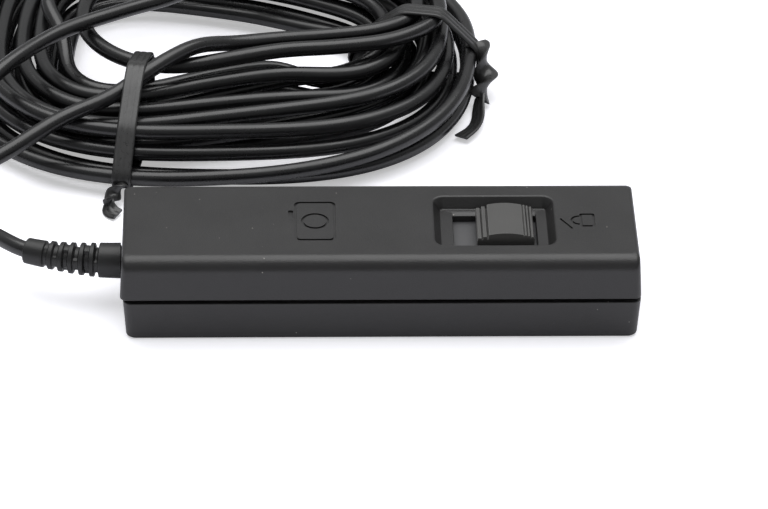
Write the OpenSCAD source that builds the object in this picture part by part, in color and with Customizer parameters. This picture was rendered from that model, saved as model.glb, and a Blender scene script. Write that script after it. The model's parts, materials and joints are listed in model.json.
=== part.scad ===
// Cable shutter release: a hand unit with a sliding two-stage button, its coiled cable and its plug.
// The origin is the centre of the hand unit's bottom face. +X runs along the hand unit, away from
// its cable, +Y towards the coil and +Z up.

/* [Hand unit] */
// Length of the hand unit
case_l = 92; // [90:0.5:96]
// Width of the hand unit
case_w = 26.8; // [26.4:0.1:29]
// Height of the hand unit
case_h = 16.6; // [16.6:0.1:17.6]
// Height of the lower shell
split_h = 7.9; // [7.8:0.1:8]
// Open gap between the two shells
split_gap = 0.7; // [0.6:0.1:0.8]
// Thickness of the shell walls
wall = 1.8; // [1.6:0.1:1.9]
// How far each side of a shell leans in from the parting line
draft = 0.45; // [0.2:0.05:0.6]

/* [Button] */
// Length of the button cap
cap_l = 10.1; // [9.6:0.1:10.4]
// Width of the button cap
cap_w = 9.8; // [9.2:0.1:9.9]
// How far the button slides
slide_travel = 4; // [2:0.1:4.2]
// How far the button presses down
press_travel = 1.2; // [0.6:0.1:1.2]

/* [Cable] */
// Outer diameter of the cable
cable_d = 2.9; // [2.8:0.05:2.9]
// Half the length of the coil, along the hand unit
coil_half_l = 49; // [48.5:0.5:50]
// Distance between strands in the coil
strand_pitch = 4.05; // [4.05:0.01:4.07]

/* [Hidden] */

$fn = 48;
eps = 0.01;      // overlap between joined solids
run_gap = 0.05;  // clearance between sliding faces
fit_gap = 0.02;  // clearance round a screw or a pin that sits tight

// Case
upper_z = split_h + split_gap;
edge_r = 2.5;            // rounding of the long top edges
corner_r = 1.2;          // rounding of the upright corners
end_inset = 1;           // how far the top pulls in at each end
lower_inset = 0.3;       // how far the lower shell sits inside the upper one
lower_end_inset = 1;     // the same at the cable end
lip_h = 1.4;             // height of the tongue that closes the gap between the shells
lip_t = 0.8;
cavity_l = case_l - 2 * wall;
cavity_w = case_w - 2 * wall;
roof_z = case_h - wall;
tongue_gap = 0.1;

// Recess in the roof
recess_x = [9.6, 31.1];
recess_y = 7.8;
recess_depth = 2;
recess_slope = 1.1;      // how far the sloped wall runs in
recess_r = 2;
recess_floor_z = case_h - recess_depth;
recess_floor_t = 1.6;
recess_under_z = recess_floor_z - recess_floor_t;
slot_x = [13.1, 27.95];
slot_y = 5.1;

// Button
cap_x1 = slot_x[1] - 0.65;           // end of the cap nearest the lock mark
cap_x0 = cap_x1 - cap_l;
cap_mid = (cap_x0 + cap_x1) / 2;
cap_top_z = case_h + 0.5;
cap_rib_w = 0.62;
cap_arch = [cap_x0 + 1.9, cap_x1 - 1.9];
cap_arch_drop = 0.55;                // how far the arch falls from its crown to its ends
plate_top_z = recess_under_z - 0.1;
plate_t = 0.6;
plate_z = plate_top_z - plate_t;
plate_y = 7.4;
plate_margin = 0.5;                  // how far the plate reaches past the slot at both ends of travel
cap_z = plate_top_z + press_travel + run_gap;
stem_l = cap_l - 2;
stem_w = cap_w - 1.8;
flange_t = 1;
peg_r = 2;
peg_h = 1.4;
side_wall_t = 1;
side_wall_y = 6.2;                   // outer face of the carriage's side walls
bridge_z = 7.4;
bridge_t = 0.8;
pusher_r = 1;
pusher_z = 6.6;                      // lower end of the pusher pin, button up

// Slide retainer and detent
retainer_t = 1;
retainer_z = plate_z - run_gap - retainer_t;
retainer_x = [4, 36];
retainer_y = 10;
retainer_open_x = [8, 33.2];
retainer_screw_x = [6, 34.6];
retainer_screw_y = 8;
detent_t = 0.3;
detent_y = 6.9;
detent_z = [8.4, 10.4];
detent_x = [14.5, 30];
bump_r = 0.5;
notch_r = 0.6;
fork_t = 0.8;

// Contacts
block_x = [-4, 4];
block_y = 7.8;
block_top_z = 7.2;
block_screw_y = 6;
blade_t = 0.3;
blade_w = 4;
blade_root_x = block_x[1] + 0.05;
blade_tip_x = 27;
tip_rivet_x = 26;
rivet_r = 0.7;
rivet_h = 0.25;
common_z = 6.2;
focus_z = 4.35;
release_z = 2.68;
tail_end_x = block_x[0] - 4;
tail_w = 2.4;
tail_ys = [-3.2, 0, 3.2];            // focus, common, release
tail_zs = [focus_z, common_z, release_z];

// Screws
case_screw_x = 41;
case_screw_y = 8.6;
case_screw_r = 1;
case_head_r = 1.9;
case_well_depth = 2.4;
small_screw_r = 0.8;
small_head_r = 1.5;
small_head_h = 0.8;
boss_r = 2.4;

// Boot: a gentle arc that leaves the case along -X and bends towards +Y
axis_z = case_h / 2;
boot_bend_r = 45;
boot_bore_r = cable_d / 2 + 0.12;
collar_r = 3.2;
collar_l = 4.1;
groove_r = 2.6;
ring_r = 3.05;
ring_t = 0.75;
ring_count = 5;
ring_pitch = 1.85;
ring_taper = 0.12;                   // how much smaller each ring is than the one before
core_r = 2.05;
web_w = 1.5;
head_r = 2.4;
head_l = 3.8;
boot_l = collar_l + ring_count * ring_pitch + 0.4 + head_l;

// Clamp inside the case
clamp_x = -34;
clamp_y = 5.6;
clamp_screw_y = 3.9;
clamp_t = 1.2;
clamp_z = axis_z + cable_d / 2 + run_gap;
jacket_end_x = -31;

// Coil: an oval of strands wound column by column, each column a leg up or down the bundle
coil_c = [-30, 74.5];
coil_half_w = 42;                    // half the coil's width at its ends' middle
coil_power = 2.4;                    // 2 makes a plain ellipse, more makes it squarer
coil_skew = 0.25;                    // how much the far side draws in towards the lock end
columns = 6;
col_pitch = strand_pitch;
leg_l = 4.35;                        // straight part of one column
loop_shift = strand_pitch;           // how far a strand moves on in one loop
turn_l = PI * col_pitch / 2;
col_l = leg_l + turn_l;
coil_start = -160;                   // angle at which the winding starts
coil_end = 40;                       // angle at which it ends, after the last whole loop
part_loop = (coil_end - coil_start) / 360;
loops = floor((columns * col_l - turn_l / 2) / loop_shift - 0.7 - part_loop) + part_loop;
fan = 0.66;                          // how far the strands spread between the ties
fan_at = -66;                        // angle where they spread most
fan_half = 75;                       // how far round they take to close up again
back_fan = 0.1;                      // the same on the far side of the coil
back_half = 90;
sink = 0.05;                         // share of its height that the bundle loses where it spreads
lean = 0.3;                          // how far the upper strands lean inwards where it spreads
// Each tie: its angle round the coil, how far it turns from square to the strands, and the strands
// that it bends round, as distances outwards from the bundle's middle and heights
left_tie = [-112.3, 3, [[-12.9, 13.5], [-13, 4], [-8.5, 2.2], [8.4, 2.4], [12.1, 3.9], [5.5, 10],
                        [-1.8, 14.6], [-5.2, 15.9]]];
right_tie = [-2, -10, [[10.4, 3.3], [10.5, 7.3], [4.1, 13.5], [-1.8, 13.5], [-6.4, 9.8], [-10.9, 4.2],
                       [-8, 2.3], [6.3, 2.6]]];
tie_gap = 0.12;
tie_t = 0.5;
tie_w = 3.6;
bundle_h = leg_l + col_pitch;        // height of the bundle between strand centres
strand_d = 3;                        // room for one strand
coil_floor = 0.65;                   // the bundle lies on its ties
coil_z = coil_floor + (strand_d + bundle_h) / 2;
coil_steps = 24;                     // stations in one loop
strand_sides = 6;

// Plug
plug_y = 26;
plug_z = 4.6;
plug_x = -92;                        // rear end of the plug's boot
plug_boot_l = 8;
plug_l = 15;
plug_w = 11;
plug_h = 9;
nose_l = 5;
nose_w = 8.8;
nose_h = 6;
nose_t = 0.7;
pin_r = 0.5;
pin_pitch = 2.4;
pin_l = 4.4;
pin_root_r = 0.8;                    // thicker root that the insert grips
pin_root_l = 0.3;                    // how far the root stands out of the insert

// ---- shared shapes ----

// Upright box with rounded upright corners, centred in X and Y
module round_box(l, w, h, r) {
    linear_extrude(h) {
        square([l - 2 * r, w], center = true);
        square([l, w - 2 * r], center = true);
        for (x = [-1, 1], y = [-1, 1])
            translate([x * (l / 2 - r), y * (w / 2 - r)]) circle(r);
    }
}

// Box between two corners
module block(low, high) {
    translate(low) cube(high - low);
}

// Pan-head screw, head at the bottom and shaft up, with a cross slot in the head
module screw(shaft_r, shaft_l, head_r, head_h) {
    slot_w = head_r * 0.3;
    difference() {
        union() {
            cylinder(r = head_r, h = head_h);
            cylinder(r = shaft_r, h = head_h + shaft_l);
        }
        for (a = [0, 90])
            rotate(a) translate([-head_r * 0.6, -slot_w / 2, -eps]) cube([head_r * 1.2, slot_w, head_h / 2]);
    }
}

function unit(v) = v / norm(v);

// Tube swept along a list of points: rings of corners, closed at both ends
module sweep(points, r, sides) {
    count = len(points);
    tangents = [for (i = [0 : count - 1])
        unit(points[min(i + 1, count - 1)] - points[max(i - 1, 0)])];
    corners = [for (i = [0 : count - 1])
        let (side = unit(cross(tangents[i], [0, 0, 1])), up = cross(side, tangents[i]))
        for (k = [0 : sides - 1])
            points[i] + r * (cos(360 * k / sides) * side + sin(360 * k / sides) * up)];
    walls = [for (i = [0 : count - 2], k = [0 : sides - 1])
        let (a = i * sides + k, b = i * sides + (k + 1) % sides)
        for (f = [[a, a + sides, b + sides], [a, b + sides, b]]) f];
    first_cap = [for (k = [1 : sides - 2]) [0, k, k + 1]];
    last = (count - 1) * sides;
    last_cap = [for (k = [1 : sides - 2]) [last, last + k + 1, last + k]];
    polyhedron(points = corners, faces = concat(walls, first_cap, last_cap), convexity = 10);
}

// Smooth curve through control points: each span's share t runs from 0 to 1
function curve_at(p, i, t) =
    0.5 * (2 * p[i] + (p[i + 1] - p[i - 1]) * t
        + (2 * p[i - 1] - 5 * p[i] + 4 * p[i + 1] - p[i + 2]) * t * t
        + (3 * p[i] - p[i - 1] - 3 * p[i + 1] + p[i + 2]) * t * t * t);
// The first and last control points only steer the ends
function curve(p, steps) = [for (i = [1 : len(p) - 3], k = [0 : steps - 1]) curve_at(p, i, k / steps)];

// ---- case ----

module upper_outside() {
    top_y = case_w / 2 - draft - edge_r;
    hull() {
        translate([0, 0, upper_z]) round_box(case_l, case_w, eps, corner_r, $fn = 32);
        for (y = [-1, 1], x = [-1, 1]) {
            translate([x * (case_l / 2 - draft - edge_r), y * top_y, case_h - edge_r])
                rotate([0, x * 90, 0]) cylinder(r = edge_r, h = edge_r - end_inset, $fn = 32);
            translate([x * (case_l / 2 - draft - corner_r), y * (case_w / 2 - draft - corner_r), upper_z])
                cylinder(r = corner_r, h = case_h - edge_r - upper_z, $fn = 32);
        }
    }
}

module lower_outside() {
    base_r = 1.5;
    x_mid = (lower_end_inset - lower_inset) / 2;
    l = case_l - lower_inset - lower_end_inset;
    w = case_w - 2 * lower_inset;
    hull() {
        translate([x_mid, 0, split_h - eps]) round_box(l, w, eps, corner_r, $fn = 32);
        translate([x_mid, 0, 0.5]) round_box(l - 2 * draft, w - 2 * draft, eps, base_r, $fn = 32);
        translate([x_mid, 0, 0]) round_box(l - 2 * draft - 1, w - 2 * draft - 1, eps, base_r, $fn = 32);
    }
}

module recess_cut() {
    x_mid = (recess_x[0] + recess_x[1]) / 2;
    l = recess_x[1] - recess_x[0];
    translate([x_mid, 0, 0]) hull() {
        translate([0, 0, case_h]) round_box(l, 2 * recess_y, 1, recess_r, $fn = 32);
        translate([0, 0, recess_floor_z])
            round_box(l - 2 * recess_slope, 2 * (recess_y - recess_slope), eps, recess_r - 0.6, $fn = 32);
    }
}

module cable_notch(r) {
    translate([-case_l / 2 - 1, 0, axis_z]) rotate([0, 90, 0]) cylinder(r = r, h = wall + 2);
}

// Engraved padlock outline that stands for the lock mark, and the tick that points at it
module lock_mark() {
    depth = 0.3;
    body = [2.7, 4.2];
    line_w = 0.45;
    shackle_r = 1.6;
    tick = [3.8, 0.4];
    translate([36.9, 0, case_h - depth]) linear_extrude(2 * depth) {
        difference() {
            square(body, center = true);
            square(body - 2 * [line_w, line_w], center = true);
        }
        translate([-body[0] / 2, 0]) difference() {
            circle(shackle_r);
            circle(shackle_r - line_w);
            translate([0, -2]) square([4, 4]);
        }
    }
    translate([33.1, -1.1, case_h - depth]) rotate(-58)
        translate([-tick[0] / 2, -tick[1] / 2, 0]) cube([tick[0], tick[1], 2 * depth]);
}

// Engraved camera outline in the middle of the roof
module camera_mark() {
    depth = 0.3;
    body = [7.4, 12.4];
    line_w = 0.5;
    lens_r = 2.5;
    translate([-11.5, 0, case_h - depth]) linear_extrude(2 * depth) {
        difference() {
            square(body, center = true);
            square(body - 2 * [line_w, line_w], center = true);
        }
        difference() {
            circle(lens_r);
            circle(lens_r - line_w);
        }
        translate([-4.3, 1.6]) square([0.9, 3.6], center = true);
    }
}

module upper_shell() {
    boss_z = upper_z - 0.4;
    color([0.13, 0.13, 0.13]) difference() {
        union() {
            difference() {
                upper_outside();
                translate([0, 0, upper_z - 1])
                    round_box(cavity_l, cavity_w, roof_z - upper_z + 1, 0.6);
            }
            // tongue that drops inside the lower shell
            translate([0, 0, upper_z - lip_h]) difference() {
                round_box(cavity_l + eps, cavity_w + eps, lip_h + 1, 0.6);
                translate([0, 0, -1])
                    round_box(cavity_l - 2 * lip_t, cavity_w - 2 * lip_t, lip_h + 3, 0.4);
                translate([-case_l / 2, -collar_r - 0.6, -1]) cube([10, 2 * collar_r + 1.2, lip_h + 3]);
            }
            // floor and walls of the recess, seen from inside
            block([recess_x[0] - wall, -recess_y - wall, recess_under_z],
                  [recess_x[1] + wall, recess_y + wall, roof_z + eps]);
            for (x = [-1, 1], y = [-1, 1])
                translate([x * case_screw_x, y * case_screw_y, boss_z])
                    cylinder(r = boss_r, h = roof_z - boss_z + eps);
            for (x = retainer_screw_x, y = [-1, 1])
                translate([x, y * retainer_screw_y, plate_z - run_gap])
                    cylinder(r = 1.9, h = roof_z - plate_z + run_gap + eps);
        }
        recess_cut();
        block([slot_x[0], -slot_y, recess_under_z - 1], [slot_x[1], slot_y, recess_floor_z + 1]);
        // room for the carriage's plate
        block([slot_x[0] - plate_margin - slide_travel - 0.6, -plate_y - run_gap, plate_z - 1],
              [slot_x[1] + plate_margin + slide_travel + 0.6, plate_y + run_gap, recess_under_z]);
        for (x = [-1, 1], y = [-1, 1])
            translate([x * case_screw_x, y * case_screw_y, boss_z - 1])
                cylinder(r = case_screw_r + fit_gap, h = 6);
        for (x = retainer_screw_x, y = [-1, 1])
            translate([x, y * retainer_screw_y, plate_z - 1])
                cylinder(r = small_screw_r + fit_gap, h = 3.2);
        cable_notch(groove_r + fit_gap);
        lock_mark();
        camera_mark();
    }
}

module lower_shell() {
    boss_top = upper_z - 0.5;
    color([0.12, 0.12, 0.12]) difference() {
        union() {
            difference() {
                lower_outside();
                translate([0, 0, wall]) round_box(cavity_l, cavity_w, case_h, 0.6);
            }
            for (x = [-1, 1], y = [-1, 1])
                translate([x * case_screw_x, y * case_screw_y, wall - eps])
                    cylinder(r = boss_r, h = boss_top - wall);
            // saddle under the cable, with a post each side for the clamp's screws
            block([clamp_x - 2, -clamp_y, wall - eps],
                  [clamp_x + 2, clamp_y, axis_z - cable_d / 2 - run_gap]);
            for (y = [-1, 1])
                translate([clamp_x, y * clamp_screw_y, wall - eps])
                    cylinder(r = 1.6, h = clamp_z - run_gap - wall);
            // pads under the contact block's screws
            for (y = [-1, 1])
                translate([0, y * block_screw_y, wall - eps]) cylinder(r = 1.6, h = 0.5);
        }
        for (x = [-1, 1], y = [-1, 1])
            translate([x * case_screw_x, y * case_screw_y, -1]) {
                cylinder(r = case_head_r + 0.1, h = case_well_depth + 1);
                cylinder(r = case_screw_r + 0.1, h = case_h);
            }
        for (y = [-1, 1]) {
            translate([clamp_x, y * clamp_screw_y, clamp_z - 4.6])
                cylinder(r = small_screw_r + fit_gap, h = 6);
            translate([0, y * block_screw_y, 0.6]) cylinder(r = small_screw_r + fit_gap, h = 4);
        }
        // seat of the upper shell's tongue
        translate([0, 0, upper_z - lip_h - tongue_gap]) difference() {
            round_box(cavity_l + 2 * tongue_gap, cavity_w + 2 * tongue_gap, case_h, 0.6);
            translate([0, 0, -1])
                round_box(cavity_l - 2 * (lip_t + tongue_gap), cavity_w - 2 * (lip_t + tongue_gap),
                          case_h + 2, 0.4);
        }
        cable_notch(groove_r + fit_gap);
    }
}

module case_screws() {
    shaft_l = 9;
    color([0.62, 0.62, 0.64]) for (x = [-1, 1], y = [-1, 1])
        translate([x * case_screw_x, y * case_screw_y, case_well_depth - 1.1])
            screw(case_screw_r, shaft_l, case_head_r, 1.1);
}

// ---- button ----

module cap_profile() {
    arch_l = cap_arch[1] - cap_arch[0];
    arch_mid = (cap_arch[0] + cap_arch[1]) / 2;
    arch_r = (arch_l * arch_l / 4 + cap_arch_drop * cap_arch_drop) / (2 * cap_arch_drop);
    shoulder_z = cap_top_z - cap_arch_drop - 0.25;
    square_from = [cap_x0, cap_z];
    translate(square_from) square([cap_l, shoulder_z - 0.9 - cap_z]);
    // crown of the cap
    intersection() {
        translate([arch_mid, cap_top_z - arch_r]) circle(arch_r, $fn = 96);
        translate([cap_arch[0], cap_z]) square([arch_l, cap_top_z - cap_z]);
    }
    // ribs fall away in steps towards both ends
    for (i = [0 : 1])
        translate([cap_x0 + 0.3 + i * 0.82, cap_z]) square([cap_rib_w, shoulder_z - 0.45 + i * 0.25 - cap_z]);
    for (i = [0 : 1])
        translate([cap_arch[1] + 0.2 + i * 0.82, cap_z])
            square([cap_rib_w, shoulder_z - 0.2 - i * 0.25 - cap_z]);
}

module thumb_button() {
    color([0.36, 0.36, 0.35]) difference() {
        translate([0, cap_w / 2, 0]) rotate([90, 0, 0]) linear_extrude(cap_w) cap_profile();
        translate([cap_mid, 0, cap_z - 1]) cylinder(r = peg_r + fit_gap, h = peg_h + 1.1);
    }
}

module button_plunger() {
    flange_z = plate_z - run_gap - flange_t;
    color([0.1, 0.1, 0.1]) {
        block([cap_mid - stem_l / 2, -stem_w / 2, flange_z + flange_t - eps],
              [cap_mid + stem_l / 2, stem_w / 2, cap_z - fit_gap]);
        block([cap_x0, -cap_w / 2, flange_z], [cap_x1, cap_w / 2, flange_z + flange_t]);
        translate([cap_mid, 0, cap_z - 1]) cylinder(r = peg_r, h = peg_h + 1);
        translate([cap_mid, 0, pusher_z]) cylinder(r = pusher_r, h = flange_z - pusher_z + eps);
    }
}

module slide_carriage() {
    plate_x0 = slot_x[0] - plate_margin;
    plate_x1 = slot_x[1] + plate_margin + slide_travel;
    color([0.4, 0.4, 0.4]) difference() {
        union() {
            block([plate_x0, -plate_y, plate_z], [plate_x1, plate_y, plate_top_z]);
            for (s = [-1, 1])
                translate([cap_x0, s > 0 ? side_wall_y - side_wall_t : -side_wall_y, bridge_z])
                    cube([cap_l, side_wall_t, plate_z - bridge_z + eps]);
            block([cap_x0, -side_wall_y, bridge_z], [cap_x1, side_wall_y, bridge_z + bridge_t]);
        }
        block([cap_mid - stem_l / 2 - run_gap, -stem_w / 2 - run_gap, plate_z - 1],
              [cap_mid + stem_l / 2 + run_gap, stem_w / 2 + run_gap, plate_top_z + 1]);
        translate([cap_mid, 0, bridge_z - 1]) cylinder(r = pusher_r + run_gap, h = bridge_t + 2);
        for (x = [0, slide_travel])
            translate([cap_mid + x, side_wall_y, bridge_z - 1]) cylinder(r = notch_r, h = 4.5);
    }
}

module return_spring() {
    wire_r = 0.2;
    mean_r = 1.6;
    turns = 4;
    steps = 16;
    z0 = bridge_z + bridge_t + wire_r + run_gap;
    z1 = plate_z - run_gap - flange_t - wire_r - run_gap;
    points = [for (i = [0 : turns * steps]) let (a = 360 * i / steps, f = i / (turns * steps))
        [cap_mid + mean_r * cos(a), mean_r * sin(a), z0 + (z1 - z0) * f]];
    color([0.75, 0.75, 0.77]) sweep(points, wire_r, 6);
}

module slide_retainer() {
    fork_x = [detent_x[0], detent_x[1]];
    color([0.16, 0.16, 0.16]) difference() {
        union() {
            block([retainer_x[0], -retainer_y, retainer_z],
                  [retainer_x[1], retainer_y, retainer_z + retainer_t]);
            for (x = fork_x)
                block([x - 1, detent_y - fork_t, detent_z[0]],
                      [x + 1, detent_y + detent_t + fork_t, retainer_z + eps]);
        }
        block([retainer_open_x[0], -side_wall_y - 0.1, retainer_z - 1],
              [retainer_open_x[1], side_wall_y + 0.1, retainer_z + 2]);
        // slots of the forks, open at the bottom
        block([detent_x[0] - 0.7, detent_y - fit_gap, detent_z[0] - 1],
              [detent_x[1] + 0.7, detent_y + detent_t + fit_gap, detent_z[1] + fit_gap]);
        // clearance of the forks from the carriage's side wall
        block([detent_x[0] - 2, 0, detent_z[0] - 1], [detent_x[1] + 2, side_wall_y + 0.1, retainer_z]);
        for (x = retainer_screw_x, y = [-1, 1])
            translate([x, y * retainer_screw_y, retainer_z - 1]) cylinder(r = small_screw_r + 0.1, h = 3);
    }
}

module retainer_screws() {
    color([0.7, 0.7, 0.72]) for (x = retainer_screw_x, y = [-1, 1])
        translate([x, y * retainer_screw_y, retainer_z - small_head_h])
            screw(small_screw_r, retainer_t + 1.9, small_head_r, small_head_h);
}

module detent_spring() {
    color([0.72, 0.7, 0.62]) {
        block([detent_x[0] - 0.6, detent_y, detent_z[0]],
              [detent_x[1] + 0.6, detent_y + detent_t, detent_z[1]]);
        translate([cap_mid, side_wall_y + run_gap + bump_r, detent_z[0]])
            cylinder(r = bump_r, h = detent_z[1] - detent_z[0]);
    }
}

// ---- contacts ----

module contact_block() {
    ear_t = 1.4;
    block_z = wall + 0.5;
    color([0.75, 0.72, 0.62]) difference() {
        union() {
            block([block_x[0], -4.4, block_z], [block_x[1], 4.4, block_top_z]);
            block([block_x[0] + 2, -block_y, block_z], [block_x[1] - 2, block_y, block_z + ear_t]);
        }
        for (y = [-1, 1])
            translate([0, y * block_screw_y, 0]) cylinder(r = small_screw_r + 0.1, h = 6);
        for (i = [0 : 2])
            tail_slot(i);
    }
}

// Slot that holds one strip in the block
module tail_slot(i) {
    block([block_x[0] - 1, tail_ys[i] - tail_w / 2 - fit_gap, tail_zs[i] - fit_gap],
          [block_x[1] + 1, tail_ys[i] + tail_w / 2 + fit_gap, tail_zs[i] + blade_t + fit_gap]);
}

module tail(i) {
    block([tail_end_x, tail_ys[i] - tail_w / 2, tail_zs[i]],
          [block_x[1], tail_ys[i] + tail_w / 2, tail_zs[i] + blade_t]);
}

module contact_tails() {
    color([0.8, 0.65, 0.3]) for (i = [0, 1]) tail(i);
}

// Blade from the block to the rivets, and the arm that joins it to its own tail's line
module blade(i, up, down) {
    z = tail_zs[i];
    y0 = min(tail_ys[i] - tail_w / 2, -blade_w / 2);
    y1 = max(tail_ys[i] + tail_w / 2, blade_w / 2);
    block([blade_root_x, y0, z], [blade_root_x + 2.5, y1, z + blade_t]);
    block([blade_root_x, -blade_w / 2, z], [blade_tip_x, blade_w / 2, z + blade_t]);
    if (up) translate([tip_rivet_x, 0, z]) cylinder(r = rivet_r, h = blade_t + rivet_h);
    if (down) translate([tip_rivet_x, 0, z - rivet_h]) cylinder(r = rivet_r, h = rivet_h + eps);
}

module common_contact() { color([0.85, 0.7, 0.35]) blade(1, false, true); }

module focus_contact() { color([0.85, 0.7, 0.35]) blade(0, true, true); }

module release_contact() {
    color([0.85, 0.7, 0.35]) {
        tail(2);
        block([block_x[1] - eps, tail_ys[2] - tail_w / 2, release_z],
              [blade_root_x + eps, tail_ys[2] + tail_w / 2, release_z + blade_t]);
        blade(2, true, false);
    }
}

module block_screws() {
    color([0.7, 0.7, 0.72]) for (y = [-1, 1])
        translate([0, y * block_screw_y, wall + 0.5 + 1.4 + small_head_h]) rotate([180, 0, 0])
            screw(small_screw_r, 2.8, small_head_r - 0.3, small_head_h);
}

module solder_joints() {
    color([0.75, 0.75, 0.75]) for (i = [0 : 2])
        translate([tail_end_x + 1.2, tail_ys[i], tail_zs[i] + blade_t]) difference() {
            sphere(0.9);
            translate([-1, -1, -2]) cube([2, 2, 2]);
        }
}

// One insulated core from the end of the jacket to its tail
module core_wire(i, colour) {
    start = [jacket_end_x + 0.3, (i - 1) * 0.85, axis_z];
    end = [tail_end_x + 1.2, tail_ys[i], tail_zs[i] + blade_t + 0.6];
    points = [start - [3, 0, 0], start, start + [6, (i - 1) * 1.2, -0.6],
              (start + end) / 2 + [0, (i - 1) * 1.5, 0.4], end + [-4, (i - 1) * 0.4, 0.8],
              end, end + [3, 0, -0.5]];
    color(colour) sweep(concat(curve(points, 5), [end]), 0.4, 6);
}

module wire_focus() { core_wire(0, [0.75, 0.15, 0.12]); }

module wire_common() { core_wire(1, [0.15, 0.15, 0.16]); }

module wire_release() { core_wire(2, [0.85, 0.85, 0.82]); }

// ---- cable ----

module cable_clamp() {
    color([0.7, 0.7, 0.72]) difference() {
        block([clamp_x - 2, -clamp_y, clamp_z], [clamp_x + 2, clamp_y, clamp_z + clamp_t]);
        for (y = [-1, 1])
            translate([clamp_x, y * clamp_screw_y, clamp_z - 1]) cylinder(r = small_screw_r + 0.1, h = 4);
    }
}

module clamp_screws() {
    color([0.7, 0.7, 0.72]) for (y = [-1, 1])
        translate([clamp_x, y * clamp_screw_y, clamp_z + clamp_t + small_head_h]) rotate([180, 0, 0])
            screw(small_screw_r, clamp_t + 4, small_head_r, small_head_h);
}

// Place and direction along the boot, s from the case's end face
function boot_at(s) = let (a = s / boot_bend_r * 180 / PI)
    [-case_l / 2 - boot_bend_r * sin(a), boot_bend_r * (1 - cos(a)), axis_z];

// Bent piece of the boot: a profile drawn about the cable's centre, carried along the bend
module boot_bend(s, l) {
    turn = 180 / PI / boot_bend_r;
    translate([-case_l / 2, boot_bend_r, axis_z]) rotate(-90 - (s + l) * turn)
        rotate_extrude(angle = l * turn) translate([boot_bend_r, 0]) children();
}

// Straight piece of the boot inside the case, from x0 to x1
module boot_straight(x0, x1, r) {
    translate([x0, 0, axis_z]) rotate([0, 90, 0]) cylinder(r = r, h = x1 - x0);
}

module boot_band(s, l, r) {
    boot_bend(s, l) difference() {
        circle(r);
        circle(core_r - 0.3);
    }
}

module cable_boot() {
    rings_from = collar_l + 0.55;
    flange_x = -case_l / 2 + wall + run_gap;
    web_h = 0.8;
    color([0.09, 0.09, 0.09]) {
        difference() {
            union() {
                boot_straight(flange_x, flange_x + 1.5, collar_r);
                boot_straight(-case_l / 2 - 0.3, flange_x + eps, groove_r);
            }
            boot_straight(-case_l / 2 - 1, flange_x + 3, boot_bore_r + 0.08);
        }
        boot_bend(0.1, boot_l - 0.1) difference() {
            circle(core_r);
            circle(boot_bore_r);
        }
        boot_band(0.2, collar_l - 0.2, collar_r);
        for (i = [0 : ring_count - 1])
            boot_band(rings_from + i * ring_pitch, ring_t, ring_r - i * ring_taper);
        // two bridges in each gap, turned a quarter from one gap to the next
        for (i = [0 : ring_count - 2], side = [0, 180])
            boot_bend(rings_from + ring_t - 0.1 + i * ring_pitch, ring_pitch - ring_t + 0.2)
                rotate(i % 2 * 90 + side) translate([core_r - 0.2, -web_w / 2]) square([web_h, web_w]);
        boot_band(boot_l - head_l, head_l - 0.05, head_r);
    }
}

// Place on the winding's own path: across the bundle (u) and up it (v)
function wind_at(s) =
    let (j = floor(s / col_l), w = s - j * col_l, dir = j % 2 == 0 ? -1 : 1,
         a = (w - leg_l) / (col_pitch / 2) * 180 / PI)
    w < leg_l ? [j * col_pitch, dir * (w - leg_l / 2)]
              : [j * col_pitch + col_pitch / 2 * (1 - cos(a)), dir * (leg_l / 2 + col_pitch / 2 * sin(a))];

// 1 at one angle round the coil, falling smoothly to 0 on both sides
function swell(angle, mid, half) =
    let (x = (angle - mid + 900) % 360 - 180) abs(x) < half ? pow(cos(90 * x / half), 2) : 0;
function spread(angle) =
    1 + fan * swell(angle, fan_at, fan_half) + back_fan * swell(angle, fan_at + 180, back_half);

// Outer edge of the coil, from its centre
function coil_rim(angle) =
    let (c = cos(angle), s = sin(angle),
         sum = pow(abs(c / coil_half_l), coil_power) + pow(abs(s / coil_half_w), coil_power),
         r = pow(sum, -1 / coil_power))
    [r * c, r * s * (s > 0 ? 1 - coil_skew * c : 1)];
function rim_normal(angle) =
    let (p = coil_rim(angle), e = coil_power - 1)
    unit([sign(p[0]) * pow(abs(p[0] / coil_half_l), e) / coil_half_l,
          sign(p[1]) * pow(abs(p[1] / coil_half_w), e) / coil_half_w]);

// Centre of the strand after n loops
function coil_at(n) =
    let (angle = coil_start + 360 * n,
         s = loop_shift * n + 0.35 * loop_shift * (1 + sin(angle + 40)),
         uv = wind_at(s),
         front = swell(angle, fan_at, fan_half),
         height = uv[1] + bundle_h / 2,
         inward = ((columns - 1) * col_pitch - uv[0]) * spread(angle) + lean * height * front,
         at = coil_c + coil_rim(angle) - inward * rim_normal(angle))
    [at[0], at[1], coil_z - bundle_h / 2 + height * (1 - sink * front)];

top_z = coil_z + bundle_h / 2 + strand_d;   // height of a strand that lies across the bundle
function over(x, y, rise = 0) = [x, y, top_z + rise];

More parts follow.
